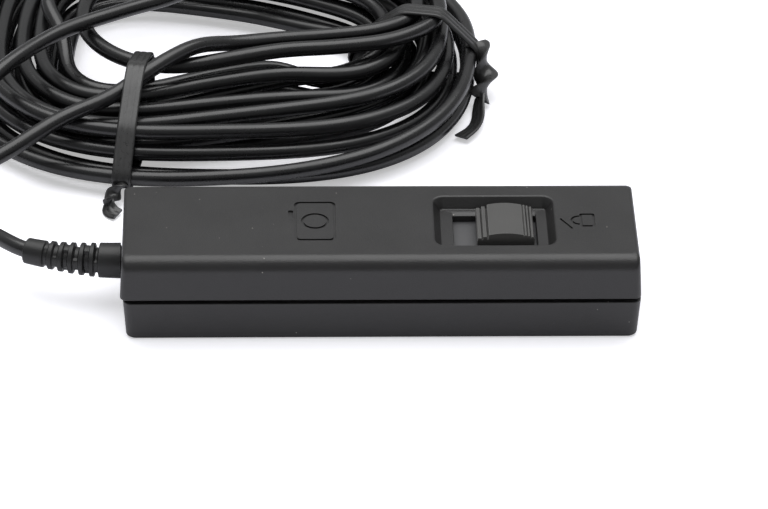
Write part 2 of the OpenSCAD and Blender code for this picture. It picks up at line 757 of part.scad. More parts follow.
module cable() {
    inside = [for (x = [jacket_end_x, -case_l / 2 + 1]) [x, 0, axis_z]];
    through_boot = [for (s = [0 : 1.5 : boot_l]) boot_at(s)];
    exit = boot_at(boot_l + 0.5);
    // from the boot out to the left, back over the coil and down onto its outer side
    to_coil = [boot_at(boot_l - 2), exit, [-66.8, 6.2, 7.4], [-71, 12, 5.4], [-75, 20, 2.8],
               [-79.5, 30, 3], [-79, 41, 8.5], over(-71, 50, 2.2), over(-60, 63.5, 3.2),
               over(-48, 72, 3.1), over(-37, 79.5, 2.4), over(-27, 88, 3.2), over(-18, 97.5, 3.4),
               over(-6, 104.5, 1.6), coil_at(loops), coil_at(loops - 0.04)];
    coil = [for (i = [0 : floor(loops * coil_steps)]) coil_at(loops - i / coil_steps)];
    // the other end goes twice round on top of the bundle, crosses itself at the left tie and runs
    // to the plug
    to_plug = [coil_at(0.04), coil_at(0), [-59, 73.5, 11], over(-62, 82), over(-57, 92), over(-46, 98),
               over(-31, 99.5), over(-17, 97.5), over(-5, 94.5), over(6, 90.5), over(12.5, 83.5),
               over(12.5, 74), over(4.5, 67), over(-6, 64.3), over(-17, 63), over(-27, 60),
               over(-36, 57.4), over(-45, 59), over(-52, 65.5), over(-55, 74.5), over(-53, 84.5),
               over(-44.5, 92.3), over(-31, 95.6), over(-18, 93.6), over(-7, 90.7), over(3.3, 87.3),
               over(8.8, 82), over(8, 75), over(1, 70.2), over(-8.5, 68.2), over(-18, 67),
               over(-26, 64.3, 0.8), over(-32.5, 60, 3), over(-37.5, 55.4, 3.3), over(-42.5, 51, 2.4),
               over(-49, 46, 0.3), over(-58, 40, -0.6), [-69, 32.5, 9.6], [-79, 27.4, 7.4],
               [-87, 26.1, 5.2], [plug_x, plug_y, plug_z], [plug_x - 4, plug_y, plug_z]];
    path = concat(inside, through_boot, curve(to_coil, 4), coil, curve(to_plug, 4),
                  [[plug_x, plug_y, plug_z], [plug_x - plug_boot_l, plug_y, plug_z]]);
    color([0.06, 0.06, 0.065]) sweep(path, cable_d / 2, strand_sides);
}

// The strands that a tie bends round, and everything between them, grown by some margin
module bundle_outline(strands, margin) {
    hull() for (at = strands) translate(at) circle(r = strand_d / 2 + margin);
}

// Flat band pulled round the bundle and the loose strands on top of it
module tie_band(tie) {
    out = rim_normal(tie[0]);
    heading = atan2(out[1], out[0]) + tie[1];
    bundle_w = (columns - 1) * col_pitch * spread(tie[0]);
    middle = coil_c + coil_rim(tie[0]) - bundle_w / 2 * [cos(heading), sin(heading)];
    translate([middle[0], middle[1], 0]) rotate([90, 0, heading]) translate([0, 0, -tie_w / 2])
        linear_extrude(tie_w) difference() {
            bundle_outline(tie[2], tie_gap + tie_t);
            bundle_outline(tie[2], tie_gap);
        }
}

module left_tie() { color([0.1, 0.1, 0.1]) tie_band(left_tie); }

module right_tie() { color([0.1, 0.1, 0.1]) tie_band(right_tie); }

// ---- plug ----

module plug_boot() {
    color([0.08, 0.08, 0.08]) translate([plug_x - plug_boot_l, plug_y, plug_z]) rotate([0, 90, 0])
        difference() {
            union() {
                cylinder(r1 = 3, r2 = 2.2, h = plug_boot_l);
                for (i = [0 : 2]) translate([0, 0, 1.2 + i * 2.2]) cylinder(r = 3 - i * 0.2, h = 1);
            }
            translate([0, 0, -1]) cylinder(r = boot_bore_r, h = plug_boot_l + 2);
        }
}

module plug_housing() {
    x1 = plug_x - plug_boot_l;
    color([0.1, 0.1, 0.1]) difference() {
        union() {
            translate([x1 - plug_l, plug_y, plug_z]) rotate([0, 90, 0])
                round_box(plug_h, plug_w, plug_l, 1.4);
            translate([x1 - plug_l - nose_l, plug_y, plug_z]) rotate([0, 90, 0])
                round_box(nose_h, nose_w, nose_l + 1, 0.8);
        }
        translate([x1 - plug_l - nose_l - 1, plug_y, plug_z]) rotate([0, 90, 0])
            round_box(nose_h - 2 * nose_t, nose_w - 2 * nose_t, nose_l + 5, 0.4);
        // grip grooves on both sides
        for (s = [-1, 1], i = [0 : 4])
            translate([x1 - 4 - i * 1.6, plug_y + s * plug_w / 2, plug_z])
                cube([0.7, 0.7, plug_h], center = true);
    }
}

module plug_insert() {
    x0 = plug_x - plug_boot_l - plug_l;
    color([0.2, 0.2, 0.2]) difference() {
        translate([x0, plug_y, plug_z]) rotate([0, 90, 0])
            round_box(nose_h - 2 * nose_t - 2 * run_gap, nose_w - 2 * nose_t - 2 * run_gap, 3.9, 0.4);
        for (i = [-1 : 1])
            translate([x0 - 1, plug_y + i * pin_pitch, plug_z]) rotate([0, 90, 0])
                cylinder(r = pin_root_r + fit_gap, h = 6);
    }
}

module plug_pins() {
    x0 = plug_x - plug_boot_l - plug_l;
    color([0.85, 0.7, 0.35]) for (i = [-1 : 1])
        translate([x0 - pin_l, plug_y + i * pin_pitch, plug_z]) rotate([0, 90, 0]) {
            translate([0, 0, pin_r]) cylinder(r = pin_r, h = pin_l);
            translate([0, 0, pin_l - pin_root_l]) cylinder(r = pin_root_r, h = 3.6 + pin_root_l);
            translate([0, 0, pin_r]) sphere(pin_r);
        }
}

upper_shell();
lower_shell();
case_screws();
thumb_button();
button_plunger();
slide_carriage();
return_spring();
slide_retainer();
retainer_screws();
detent_spring();
contact_block();
block_screws();
common_contact();
focus_contact();
release_contact();
contact_tails();
solder_joints();
wire_common();
wire_focus();
wire_release();
cable_clamp();
clamp_screws();
cable_boot();
cable();
left_tie();
right_tie();
plug_boot();
plug_housing();
plug_insert();
plug_pins();
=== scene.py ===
import json
import math

import bmesh
import bpy
import numpy as np
from mathutils import Matrix, Vector


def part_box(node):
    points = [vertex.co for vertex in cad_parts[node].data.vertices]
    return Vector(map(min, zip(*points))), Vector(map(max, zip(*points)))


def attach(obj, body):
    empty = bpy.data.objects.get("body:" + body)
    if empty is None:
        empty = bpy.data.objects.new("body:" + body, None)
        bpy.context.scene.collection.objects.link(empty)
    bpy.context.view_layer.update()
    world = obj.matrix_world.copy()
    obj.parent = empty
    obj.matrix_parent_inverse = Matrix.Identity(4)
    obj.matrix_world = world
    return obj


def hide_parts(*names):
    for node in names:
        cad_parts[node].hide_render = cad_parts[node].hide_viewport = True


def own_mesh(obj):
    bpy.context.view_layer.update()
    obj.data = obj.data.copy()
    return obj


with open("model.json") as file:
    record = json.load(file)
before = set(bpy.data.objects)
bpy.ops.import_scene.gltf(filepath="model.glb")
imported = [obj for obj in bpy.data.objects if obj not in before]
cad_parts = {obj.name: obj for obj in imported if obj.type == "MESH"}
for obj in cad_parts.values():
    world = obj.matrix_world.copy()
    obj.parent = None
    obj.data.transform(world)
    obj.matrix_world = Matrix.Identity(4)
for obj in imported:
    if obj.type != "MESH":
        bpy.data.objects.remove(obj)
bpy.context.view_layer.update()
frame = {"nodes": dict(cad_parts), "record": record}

MM = 0.001  # every shape below is drawn in millimetres and scaled to metres when its piece is made


def box_mm(node):
    """Lowest and highest corner of a CAD node, in millimetres."""
    low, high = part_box(node)
    return np.array(low) / MM, np.array(high) / MM


# ---------------- mesh helpers

def make_object(name, mesh):
    piece = bpy.data.objects.new(name, mesh)
    bpy.context.scene.collection.objects.link(piece)
    return piece


def raw_mesh(name, points, faces):
    """An object in millimetres, with its faces turned outwards."""
    mesh = bpy.data.meshes.new(name)
    mesh.from_pydata([tuple(p) for p in np.asarray(points, float)], [], faces)
    mesh.update()
    shape = bmesh.new()
    shape.from_mesh(mesh)
    bmesh.ops.recalc_face_normals(shape, faces=shape.faces)
    shape.to_mesh(mesh)
    shape.free()
    return make_object(name, mesh)


def bake(piece):
    """Applies the modifiers of a piece to its mesh."""
    bpy.context.view_layer.update()
    graph = bpy.context.evaluated_depsgraph_get()
    mesh = bpy.data.meshes.new_from_object(piece.evaluated_get(graph))
    piece.modifiers.clear()
    old = piece.data
    piece.data = mesh
    bpy.data.meshes.remove(old)
    return piece


def combine(piece, tool, operation):
    """Cuts tool from piece, or joins it on, and removes tool."""
    change = piece.modifiers.new("combine", "BOOLEAN")
    change.object = tool
    change.operation = operation
    change.solver = "EXACT"
    bake(piece)
    bpy.data.objects.remove(tool)
    return piece


def finish_piece(piece, body, material, slot, replaced=(), sharp_deg=32):
    """Smooths, scales to metres, gives the material and rides the piece on its body."""
    piece.data.transform(Matrix.Scale(MM, 4))
    piece.data.shade_smooth()
    piece.data.set_sharp_from_angle(angle=math.radians(sharp_deg))
    weigh = piece.modifiers.new("normals", "WEIGHTED_NORMAL")
    weigh.keep_sharp = True
    weigh.weight = 80
    bake(piece)
    piece.data.materials.clear()
    piece.data.materials.append(material)
    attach(piece, body)
    if replaced:
        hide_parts(*replaced)
    return piece


def rounded_rect(length, width, radius, steps=8):
    """Points round a rectangle with rounded corners, centred on the origin."""
    points = []
    radius = max(min(radius, length / 2 - 1e-3, width / 2 - 1e-3), 1e-3)
    for turn in range(4):
        sx, sy = ((1, 1), (-1, 1), (-1, -1), (1, -1))[turn]
        centre = (sx * (length / 2 - radius), sy * (width / 2 - radius))
        for i in range(steps + 1):
            a = math.pi / 2 * (turn + i / steps)
            points.append((centre[0] + radius * math.cos(a), centre[1] + radius * math.sin(a)))
    return points


def loft(name, loops):
    """Closed solid through loops of 3-D points that all have the same count."""
    loops = [np.asarray(loop, float) for loop in loops]
    count = len(loops[0])
    faces = [tuple(range(count))[::-1]]
    for i in range(len(loops) - 1):
        a, b = i * count, (i + 1) * count
        faces += [(a + k, a + (k + 1) % count, b + (k + 1) % count, b + k) for k in range(count)]
    faces.append(tuple(range((len(loops) - 1) * count, len(loops) * count)))
    return raw_mesh(name, np.vstack(loops), faces)


def loft_plan(name, centre, rows, steps=8):
    """Loft of rounded rectangles: each row is (z, length, width, corner radius)."""
    loops = []
    for z, length, width, radius in rows:
        plan = rounded_rect(length, width, radius, steps)
        loops.append([(centre[0] + x, centre[1] + y, z) for x, y in plan])
    return loft(name, loops)


def prism(name, outline, z0, z1):
    return loft(name, [[(x, y, z) for x, y in outline] for z in (z0, z1)])


def ring_prism(name, outer, inner, z0, z1):
    """Prism between two outlines that have the same count of points."""
    count = len(outer)
    points = [(x, y, z) for z in (z0, z1) for loop in (outer, inner) for x, y in loop]
    faces = []
    for k in range(count):
        n = (k + 1) % count
        o0, i0, o1, i1 = 0, count, 2 * count, 3 * count
        faces += [(o0 + k, o0 + n, o1 + n, o1 + k), (i0 + n, i0 + k, i1 + k, i1 + n),
                  (o1 + k, o1 + n, i1 + n, i1 + k), (o0 + n, o0 + k, i0 + k, i0 + n)]
    return raw_mesh(name, points, faces)


def circle_points(radius, steps=32, centre=(0, 0)):
    return [(centre[0] + radius * math.cos(2 * math.pi * i / steps),
             centre[1] + radius * math.sin(2 * math.pi * i / steps)) for i in range(steps)]


def tube_frames(path):
    """Unit tangent, side and up vectors along a path, with up kept as upright as it can be."""
    path = np.asarray(path, float)
    tangent = np.gradient(path, axis=0)
    tangent /= np.linalg.norm(tangent, axis=1)[:, None]
    side = np.cross(tangent, (0, 0, 1.0))
    side /= np.linalg.norm(side, axis=1)[:, None]
    return tangent, side, np.cross(side, tangent)


def sweep(name, path, outline, frames=None, closed=False):
    """Solid of a 2-D outline (side, up) carried along a path. outline may change with the station."""
    path = np.asarray(path, float)
    tangent, side, up = frames or tube_frames(path)
    count = len(path)
    loops = []
    for i in range(count):
        shape = np.asarray(outline(i) if callable(outline) else outline, float)
        loops.append(path[i] + shape[:, :1] * side[i] + shape[:, 1:] * up[i])
    sides = len(loops[0])
    points = np.vstack(loops)
    last = count if closed else count - 1
    faces = []
    for i in range(last):
        a, b = i * sides, ((i + 1) % count) * sides
        faces += [(a + k, a + (k + 1) % sides, b + (k + 1) % sides, b + k) for k in range(sides)]
    if not closed:
        faces.append(tuple(range(sides))[::-1])
        faces.append(tuple(range((count - 1) * sides, count * sides)))
    return raw_mesh(name, points, faces)


def smooth_step(value, low, high):
    share = np.clip((value - low) / (high - low), 0, 1)
    return share * share * (3 - 2 * share)


# ---------------- materials

class Nodes:
    """Short way to build a material's node tree."""

    def __init__(self, name):
        self.material = bpy.data.materials.new(name)
        self.material.use_nodes = True
        self.tree = self.material.node_tree
        self.shader = self.tree.nodes["Principled BSDF"]
        self.place = self.node("ShaderNodeTexCoord").outputs["Object"]

    def node(self, kind, **values):
        made = self.tree.nodes.new(kind)
        for key, value in values.items():
            if key in made.inputs:
                made.inputs[key].default_value = value
            else:
                setattr(made, key, value)
        return made

    def link(self, source, target):
        self.tree.links.new(source, target)

    def noise(self, scale_mm, detail=3, rough=0.5, stretch=(1, 1, 1)):
        """Noise whose features are about scale_mm across, from 0 to 1."""
        mapping = self.node("ShaderNodeMapping")
        mapping.inputs["Scale"].default_value = [s / (scale_mm * MM) for s in stretch]
        self.link(self.place, mapping.inputs["Vector"])
        noise = self.node("ShaderNodeTexNoise", Scale=1.0, Detail=detail, Roughness=rough)
        self.link(mapping.outputs[0], noise.inputs["Vector"])
        return noise.outputs["Fac"]

    def ramp(self, source, low, high, out_low, out_high):
        """Maps low..high of a socket to out_low..out_high."""
        made = self.node("ShaderNodeMapRange")
        made.inputs["From Min"].default_value = low
        made.inputs["From Max"].default_value = high
        made.inputs["To Min"].default_value = out_low
        made.inputs["To Max"].default_value = out_high
        self.link(source, made.inputs["Value"])
        return made.outputs["Result"]

    def math(self, operation, a, b):
        made = self.node("ShaderNodeMath", operation=operation)
        for i, value in enumerate((a, b)):
            if isinstance(value, (int, float)):
                made.inputs[i].default_value = value
            else:
                self.link(value, made.inputs[i])
        return made.outputs[0]

    def mix(self, share, a, b):
        """Colour mix; share is a socket or a number, a and b are colours or sockets."""
        made = self.node("ShaderNodeMix", data_type="RGBA")
        for socket, value in ((made.inputs[0], share), (made.inputs[6], a), (made.inputs[7], b)):
            if isinstance(value, (int, float)):
                socket.default_value = value
            elif isinstance(value, (tuple, list)):
                socket.default_value = (*value[:3], 1)
            else:
                self.link(value, socket)
        return made.outputs[2]

    def specks(self, spacing_mm, size_mm, share):
        """1 on small scattered dust specks, 0 elsewhere."""
        mapping = self.node("ShaderNodeMapping")
        mapping.inputs["Scale"].default_value = [1 / (spacing_mm * MM)] * 3
        self.link(self.place, mapping.inputs["Vector"])
        cells = self.node("ShaderNodeTexVoronoi", Scale=1.0)
        self.link(mapping.outputs[0], cells.inputs["Vector"])
        near = self.ramp(cells.outputs["Distance"], size_mm / spacing_mm, 0.4 * size_mm / spacing_mm, 0, 1)
        split = self.node("ShaderNodeSeparateColor")
        self.link(cells.outputs["Color"], split.inputs[0])
        chosen = self.math("LESS_THAN", split.outputs[0], share)
        return self.math("MULTIPLY", near, chosen)

    def edge_mask(self, radius_mm):
        """1 on sharp edges and 0 on flat faces."""
        bevel = self.node("ShaderNodeBevel", samples=4, Radius=radius_mm * MM)
        geometry = self.node("ShaderNodeNewGeometry")
        dot = self.node("ShaderNodeVectorMath", operation="DOT_PRODUCT")
        self.link(bevel.outputs[0], dot.inputs[0])
        self.link(geometry.outputs["Normal"], dot.inputs[1])
        return self.ramp(dot.outputs["Value"], 0.995, 0.9, 0, 1)

    def bump(self, *layers):
        """Each layer is (height socket, height in mm)."""
        normal = None
        for height, depth_mm in layers:
            made = self.node("ShaderNodeBump", Strength=1.0, Distance=depth_mm * MM)
            self.link(height, made.inputs["Height"])
            if normal is not None:
                self.link(normal, made.inputs["Normal"])
            normal = made.outputs[0]
        self.link(normal, self.shader.inputs["Normal"])

    def surface(self, colour, rough, metallic=0.0, specular=0.5):
        """Sets the shader's inputs; each value is a number, a colour or a socket."""
        for key, value in (("Base Color", colour), ("Roughness", rough), ("Metallic", metallic),
                           ("Specular IOR Level", specular)):
            socket = self.shader.inputs[key]
            if isinstance(value, (int, float)):
                socket.default_value = value
            elif isinstance(value, (tuple, list)):
                socket.default_value = (*value[:3], 1)
            else:
                self.link(value, socket)


def moulded_plastic(name, colour, rough=0.45, grain_mm=0.22, grain_depth=0.006, dust=0.12, edge_highlight=0.5,
                    specular=0.5):
    """Moulded plastic: fine grain, uneven colour and gloss, edges painted paler as a painted highlight, and a
    little dust.
    """
    m = Nodes(name)
    cloud = m.noise(9, detail=4)
    dark = [c * 0.86 for c in colour]
    pale = [c * 1.16 for c in colour]
    base = m.mix(cloud, dark, pale)
    grain = m.noise(grain_mm, detail=2)
    base = m.mix(m.ramp(grain, 0.3, 0.7, 0, 0.25), base, [c * 1.35 for c in colour])
    # painted highlight: the sharp edges are painted paler, as if light caught them, more in some places than
    # others
    if edge_highlight:
        painted_edge_highlight = m.math("MULTIPLY", m.edge_mask(0.25), m.ramp(m.noise(2.5), 0.35, 0.65, 0.2 * edge_highlight, edge_highlight))
        base = m.mix(painted_edge_highlight, base, [min(1, c * 2.2 + 0.01) for c in colour])
    if dust:
        specks = m.specks(1.9, 0.14, dust)
        base = m.mix(m.math("MULTIPLY", specks, 0.8), base, (0.4, 0.38, 0.35))
    smudge = m.ramp(m.noise(14, detail=5, rough=0.6), 0.3, 0.7, rough - 0.05, rough + 0.06)
    m.surface(base, smudge, specular=specular)
    m.bump((m.noise(6, detail=2), 0.01), (m.noise(0.6, detail=2), 0.7 * grain_depth), (grain, grain_depth))
    return m.material


def soft_vinyl(name, colour, rough=0.36, specular=0.5):
    """Satin cable jacket: faint long waves, drawn streaks and dust."""
    m = Nodes(name)
    base = m.mix(m.noise(12, detail=3), [c * 0.8 for c in colour], [c * 1.25 for c in colour])
    specks = m.specks(3.2, 0.13, 0.12)
    base = m.mix(m.math("MULTIPLY", specks, 0.45), base, (0.3, 0.3, 0.29))
    gloss = m.ramp(m.noise(7, detail=4, rough=0.6), 0.3, 0.7, rough - 0.06, rough + 0.08)
    m.surface(base, gloss, specular=specular)
    m.bump((m.noise(2.2, detail=3), 0.02), (m.noise(0.25, detail=2), 0.004))
    return m.material


def tie_plastic(name, colour):
    """Glossy ribbon plastic with fine scuffs."""
    m = Nodes(name)
    scuff = m.noise(0.7, detail=4, rough=0.7)
    base = m.mix(scuff, [c * 0.8 for c in colour], [c * 1.3 for c in colour])
    m.surface(base, m.ramp(scuff, 0.3, 0.7, 0.24, 0.4), specular=0.6)
    m.bump((m.noise(1.4, detail=3), 0.012), (scuff, 0.003))
    return m.material


def bare_metal(name, colour, rough=0.3, stretch=(1, 8, 8)):
    """Drawn or rolled metal with fine lines and a dull patch here and there."""
    m = Nodes(name)
    lines = m.noise(0.35, detail=4, rough=0.6, stretch=stretch)
    tarnish = m.ramp(m.noise(3.0, detail=4), 0.45, 0.75, 0, 0.5)
    base = m.mix(tarnish, colour, [c * 0.55 for c in colour])
    m.surface(base, m.ramp(lines, 0.3, 0.7, rough - 0.08, rough + 0.12), metallic=1.0)
    m.bump((lines, 0.002))
    return m.material


# each plastic's edge setting is the strength of the painted highlight on its edges
MATERIALS = {
    "case": moulded_plastic("case_plastic", (0.0155, 0.015, 0.0152), rough=0.34, grain_depth=0.028, dust=0.2),
    "button_grey": moulded_plastic("button_plastic", (0.066, 0.065, 0.063), rough=0.38, grain_mm=0.15,
                                   grain_depth=0.003, dust=0.04, edge_highlight=0.8),
    "plate_grey": moulded_plastic("plate_plastic", (0.08, 0.08, 0.083), rough=0.4, grain_depth=0.002,
                                  edge_highlight=0.3),
    "inner_black": moulded_plastic("inner_plastic", (0.02, 0.02, 0.02), rough=0.5, dust=0.05),
    "block_resin": moulded_plastic("block_resin", (0.34, 0.24, 0.12), rough=0.5, dust=0.02),
    "plug_black": moulded_plastic("plug_plastic", (0.028, 0.028, 0.028), rough=0.42),
    "boot_rubber": moulded_plastic("boot_rubber", (0.012, 0.012, 0.012), rough=0.42, grain_mm=0.18,
                                   grain_depth=0.005, dust=0.08, edge_highlight=0.35, specular=0.45),
    "cable_jacket": soft_vinyl("cable_vinyl", (0.006, 0.006, 0.0065), rough=0.27, specular=0.62),
    "tie_plastic": tie_plastic("tie_plastic", (0.018, 0.018, 0.018)),
    "wire_black": soft_vinyl("wire_vinyl_black", (0.02, 0.02, 0.02), rough=0.3),
    "wire_red": soft_vinyl("wire_vinyl_red", (0.45, 0.03, 0.02), rough=0.3),
    "wire_white": soft_vinyl("wire_vinyl_white", (0.7, 0.7, 0.66), rough=0.3),
    "screw_steel": bare_metal("screw_metal", (0.55, 0.55, 0.56)),
    "spring_steel": bare_metal("spring_metal", (0.5, 0.49, 0.46), rough=0.25),
    "contact_brass": bare_metal("contact_metal", (0.8, 0.6, 0.3), rough=0.25),
    "solder": bare_metal("solder_metal", (0.6, 0.6, 0.6), rough=0.45, stretch=(1, 1, 1)),
}
for part in frame["record"]["subparts"]:
    cad = frame["nodes"][part["node"]]
    cad.data.materials.clear()
    cad.data.materials.append(MATERIALS[part["material_slot"]])
    cad.data.shade_smooth()
    cad.data.set_sharp_from_angle(angle=math.radians(30))

# ---------------- the case

upper_low, upper_high = box_mm("upper_shell")
lower_low, lower_high = box_mm("lower_shell")
_, plate_high = box_mm("slide_carriage")
cap_low, cap_high = box_mm("thumb_button")

CASE_TOP = upper_high[2]
LIP_H = 1.4                           # tongue that hangs below the upper shell
LIP_T = 0.8
UPPER_Z = upper_low[2] + LIP_H        # lower edge of the upper shell
SPLIT_GAP = 0.8                       # dark line between the shells
LOWER_Z = UPPER_Z - SPLIT_GAP         # upper edge of the lower shell
CASE_L = upper_high[0] - upper_low[0]
CASE_W = upper_high[1] - upper_low[1]
DRAFT = 0.45                          # lean of the side walls
LONG_R = 2.5                          # rounding of the long top edges
END_R = 0.8                           # rounding of the short top edges
RIM_R = 0.35                          # rounding of the upper shell's lower edge
CORNER_R = 1.1                        # rounding of the upright edges
WALL = 1.8
CABLE_Z = CASE_TOP / 2                # height at which the cable leaves the case
NOTCH_R = 2.75                        # the boot's hole through the end wall


def quarter(radius, steps):
    """(rise, inset) pairs from the upright side of a quarter round to its flat top."""
    angles = [math.pi / 2 * i / steps for i in range(steps + 1)]
    return [(radius * math.sin(a), radius * (1 - math.cos(a))) for a in angles]


def upper_rows():
    """Rows of the upper shell's outside, from the parting line to the roof."""
    height = CASE_TOP - UPPER_Z
    zs = [UPPER_Z + RIM_R - r for r, _ in quarter(RIM_R, 4)][::-1]
    zs += list(np.linspace(UPPER_Z + RIM_R, CASE_TOP - LONG_R, 5)[1:])
    zs += [CASE_TOP - LONG_R + r for r, _ in quarter(LONG_R, 14)][1:]
    rows = []
    for z in zs:
        lean = DRAFT * (z - UPPER_Z) / height
        rise_long = max(0, z - (CASE_TOP - LONG_R))
        rise_end = max(0, z - (CASE_TOP - END_R))
        inset_y = lean + LONG_R - math.sqrt(max(0, LONG_R ** 2 - rise_long ** 2))
        inset_x = lean + END_R - math.sqrt(max(0, END_R ** 2 - rise_end ** 2))
        rim = max(0, UPPER_Z + RIM_R - z)
        inset_rim = RIM_R - math.sqrt(max(0, RIM_R ** 2 - rim ** 2))
        rows.append((z, CASE_L - 2 * (inset_x + inset_rim), CASE_W - 2 * (inset_y + inset_rim), CORNER_R))
    return rows


RECESS = {"x": (9.6, 31.1), "half_y": 7.8, "depth": 2.0, "slope": 1.1, "corner": 2.0, "rim": 0.3,
          "foot": 0.35}
SLOT = {"x": (13.1, 27.95), "half_y": 5.1, "rim": 0.14, "corner": 0.35}
FLOOR_Z = CASE_TOP - RECESS["depth"]
UNDER_Z = plate_high[2] + 0.1         # underside of the recess floor


def recess_tool():
    """Cuts the recess: sloped walls with a rounded foot and a rounded rim."""
    x0, x1 = RECESS["x"]
    length, width = x1 - x0, 2 * RECESS["half_y"]
    rim, foot, slope = RECESS["rim"], RECESS["foot"], RECESS["slope"]
    steps, wall_inset = 5, 0.12
    rows = []
    for i in range(steps + 1):
        a = math.pi / 2 * i / steps
        rows.append((FLOOR_Z + foot * (1 - math.cos(a)), slope + foot * (1 - math.sin(a))))
    rows.append((CASE_TOP - rim, wall_inset))
    for i in range(1, steps + 1):
        a = math.pi / 2 * i / steps
        rows.append((CASE_TOP - rim + rim * math.sin(a), wall_inset * (1 - a) - rim * (1 - math.cos(a))))
    rows.append((CASE_TOP + 0.4, rows[-1][1] - 0.02))
    plan = []
    for z, inset in rows:
        plan.append((z, length - 2 * inset, width - 2 * inset, max(0.5, RECESS["corner"] - inset)))
    return loft_plan("recess_tool", ((x0 + x1) / 2, 0), plan)


def slot_tool():
    """Cuts the slot through the recess's floor, with a rounded rim."""
    x0, x1 = SLOT["x"]
    rim, steps = SLOT["rim"], 4
    rows = [(UNDER_Z - 1, 0.0), (FLOOR_Z - rim, 0.0)]
    for i in range(1, steps + 1):
        a = math.pi / 2 * i / steps
        rows.append((FLOOR_Z - rim + rim * math.sin(a), -rim * (1 - math.cos(a))))
    rows.append((FLOOR_Z + 1, rows[-1][1] - 0.005))
    plan = [(z, x1 - x0 - 2 * i, 2 * SLOT["half_y"] - 2 * i, SLOT["corner"]) for z, i in rows]
    return loft_plan("slot_tool", ((x0 + x1) / 2, 0), plan, steps=4)


def slot_chamfer():
    """Wedge that cuts the chamfer along the slot's back edge."""
    y, deep, wide = SLOT["half_y"], 0.45, 0.75
    inner_y, below, above = y - 0.5, FLOOR_Z - deep, FLOOR_Z + 0.4
    side = [(inner_y, below), (y, below), (y + wide, FLOOR_Z), (y + wide, above), (inner_y, above)]
    x0, x1 = SLOT["x"]
    return loft("chamfer", [[(x, a, b) for a, b in side] for x in (x0 + 0.05, x1 - 0.05)])


def box_tool(low, high, radius=0.5):
    """Box between two corners, with its upright edges rounded."""
    centre = ((low[0] + high[0]) / 2, (low[1] + high[1]) / 2)
    size = (high[0] - low[0], high[1] - low[1])
    return loft_plan("box_tool", centre, [(low[2], *size, radius), (high[2], *size, radius)], steps=4)


def cylinder_x(name, x0, x1, y, z, radius, steps=48):
    ring = circle_points(radius, steps)
    return loft(name, [[(x, y + a, z + b) for a, b in ring] for x in (x0, x1)])


def cylinder_z(name, x, y, z0, z1, radius, steps=32):
    return prism(name, circle_points(radius, steps, (x, y)), z0, z1)


def marks(piece):
    """Engraved marks: a padlock and its tick beside the slot, and a camera outline in the middle."""
    depth = 0.3
    z0, z1 = CASE_TOP - depth, CASE_TOP + 0.5

    def cut_ring(outer, inner):
        combine(piece, ring_prism("mark", outer, inner, z0, z1), "DIFFERENCE")

    def cut_flat(outline):
        combine(piece, prism("mark", outline, z0, z1), "DIFFERENCE")

    def plate(x, y, length, width, radius, steps=4):
        return [(px + x, py + y) for px, py in rounded_rect(length, width, radius, steps)]

    lock_x = 36.9
    cut_ring(plate(lock_x, 0, 2.7, 4.2, 0.4), plate(lock_x, 0, 1.8, 3.3, 0.2))
    shackle_x = lock_x - 1.4
    arc = [math.pi / 2 + math.pi * i / 12 for i in range(13)]
    outer = [(shackle_x + 1.6 * math.cos(a), 1.5 * math.sin(a)) for a in arc]
    inner = [(shackle_x + 1.15 * math.cos(a), 1.05 * math.sin(a)) for a in arc[::-1]]
    cut_flat(outer + inner)
    start, end, half = Vector((32.1, 0.5)), Vector((34.1, -2.7)), 0.2
    across = (end - start).normalized().orthogonal() * half
    cut_flat([tuple(start + across), tuple(start - across), tuple(end - across), tuple(end + across)])
    camera_x = -11.5
    cut_ring(plate(camera_x, 0, 7.4, 12.4, 1.0), plate(camera_x, 0, 6.4, 11.4, 0.7))
    cut_ring(circle_points(2.5, 40, (camera_x, 0)), circle_points(2.0, 40, (camera_x, 0)))
    cut_flat(plate(camera_x - 4.3, 1.6, 0.9, 3.6, 0.2, 3))


def build_case_top():
    """Upper shell: hollow, with its lip, recess, slot, notch for the boot and marks."""
    piece = loft_plan("case_top", (0, 0), upper_rows(), steps=8)
    inner_x, inner_y = CASE_L / 2 - WALL, CASE_W / 2 - WALL
    roof = CASE_TOP - WALL
    x0, x1 = RECESS["x"]
    combine(piece, box_tool((-inner_x, -inner_y, UPPER_Z - 1), (inner_x, inner_y, UNDER_Z)), "DIFFERENCE")
    combine(piece, box_tool((-inner_x, -inner_y, UNDER_Z - 1), (x0 - WALL, inner_y, roof)), "DIFFERENCE")
    combine(piece, box_tool((x1 + WALL, -inner_y, UNDER_Z - 1), (inner_x, inner_y, roof)), "DIFFERENCE")
    lip_out = rounded_rect(2 * inner_x + 0.1, 2 * inner_y + 0.1, 0.6, 4)
    lip_in = rounded_rect(2 * (inner_x - LIP_T), 2 * (inner_y - LIP_T), 0.4, 4)
    lip = ring_prism("lip", lip_out, lip_in, UPPER_Z - LIP_H, UPPER_Z + 1)
    combine(piece, lip, "UNION")
    combine(piece, recess_tool(), "DIFFERENCE")
    combine(piece, slot_tool(), "DIFFERENCE")
    combine(piece, slot_chamfer(), "DIFFERENCE")
    combine(piece, cylinder_x("notch", upper_low[0] - 1, upper_low[0] + 4, 0, CABLE_Z, NOTCH_R), "DIFFERENCE")
    marks(piece)
    return finish_piece(piece, "hand_unit", MATERIALS["case"], "case", ["upper_shell"])


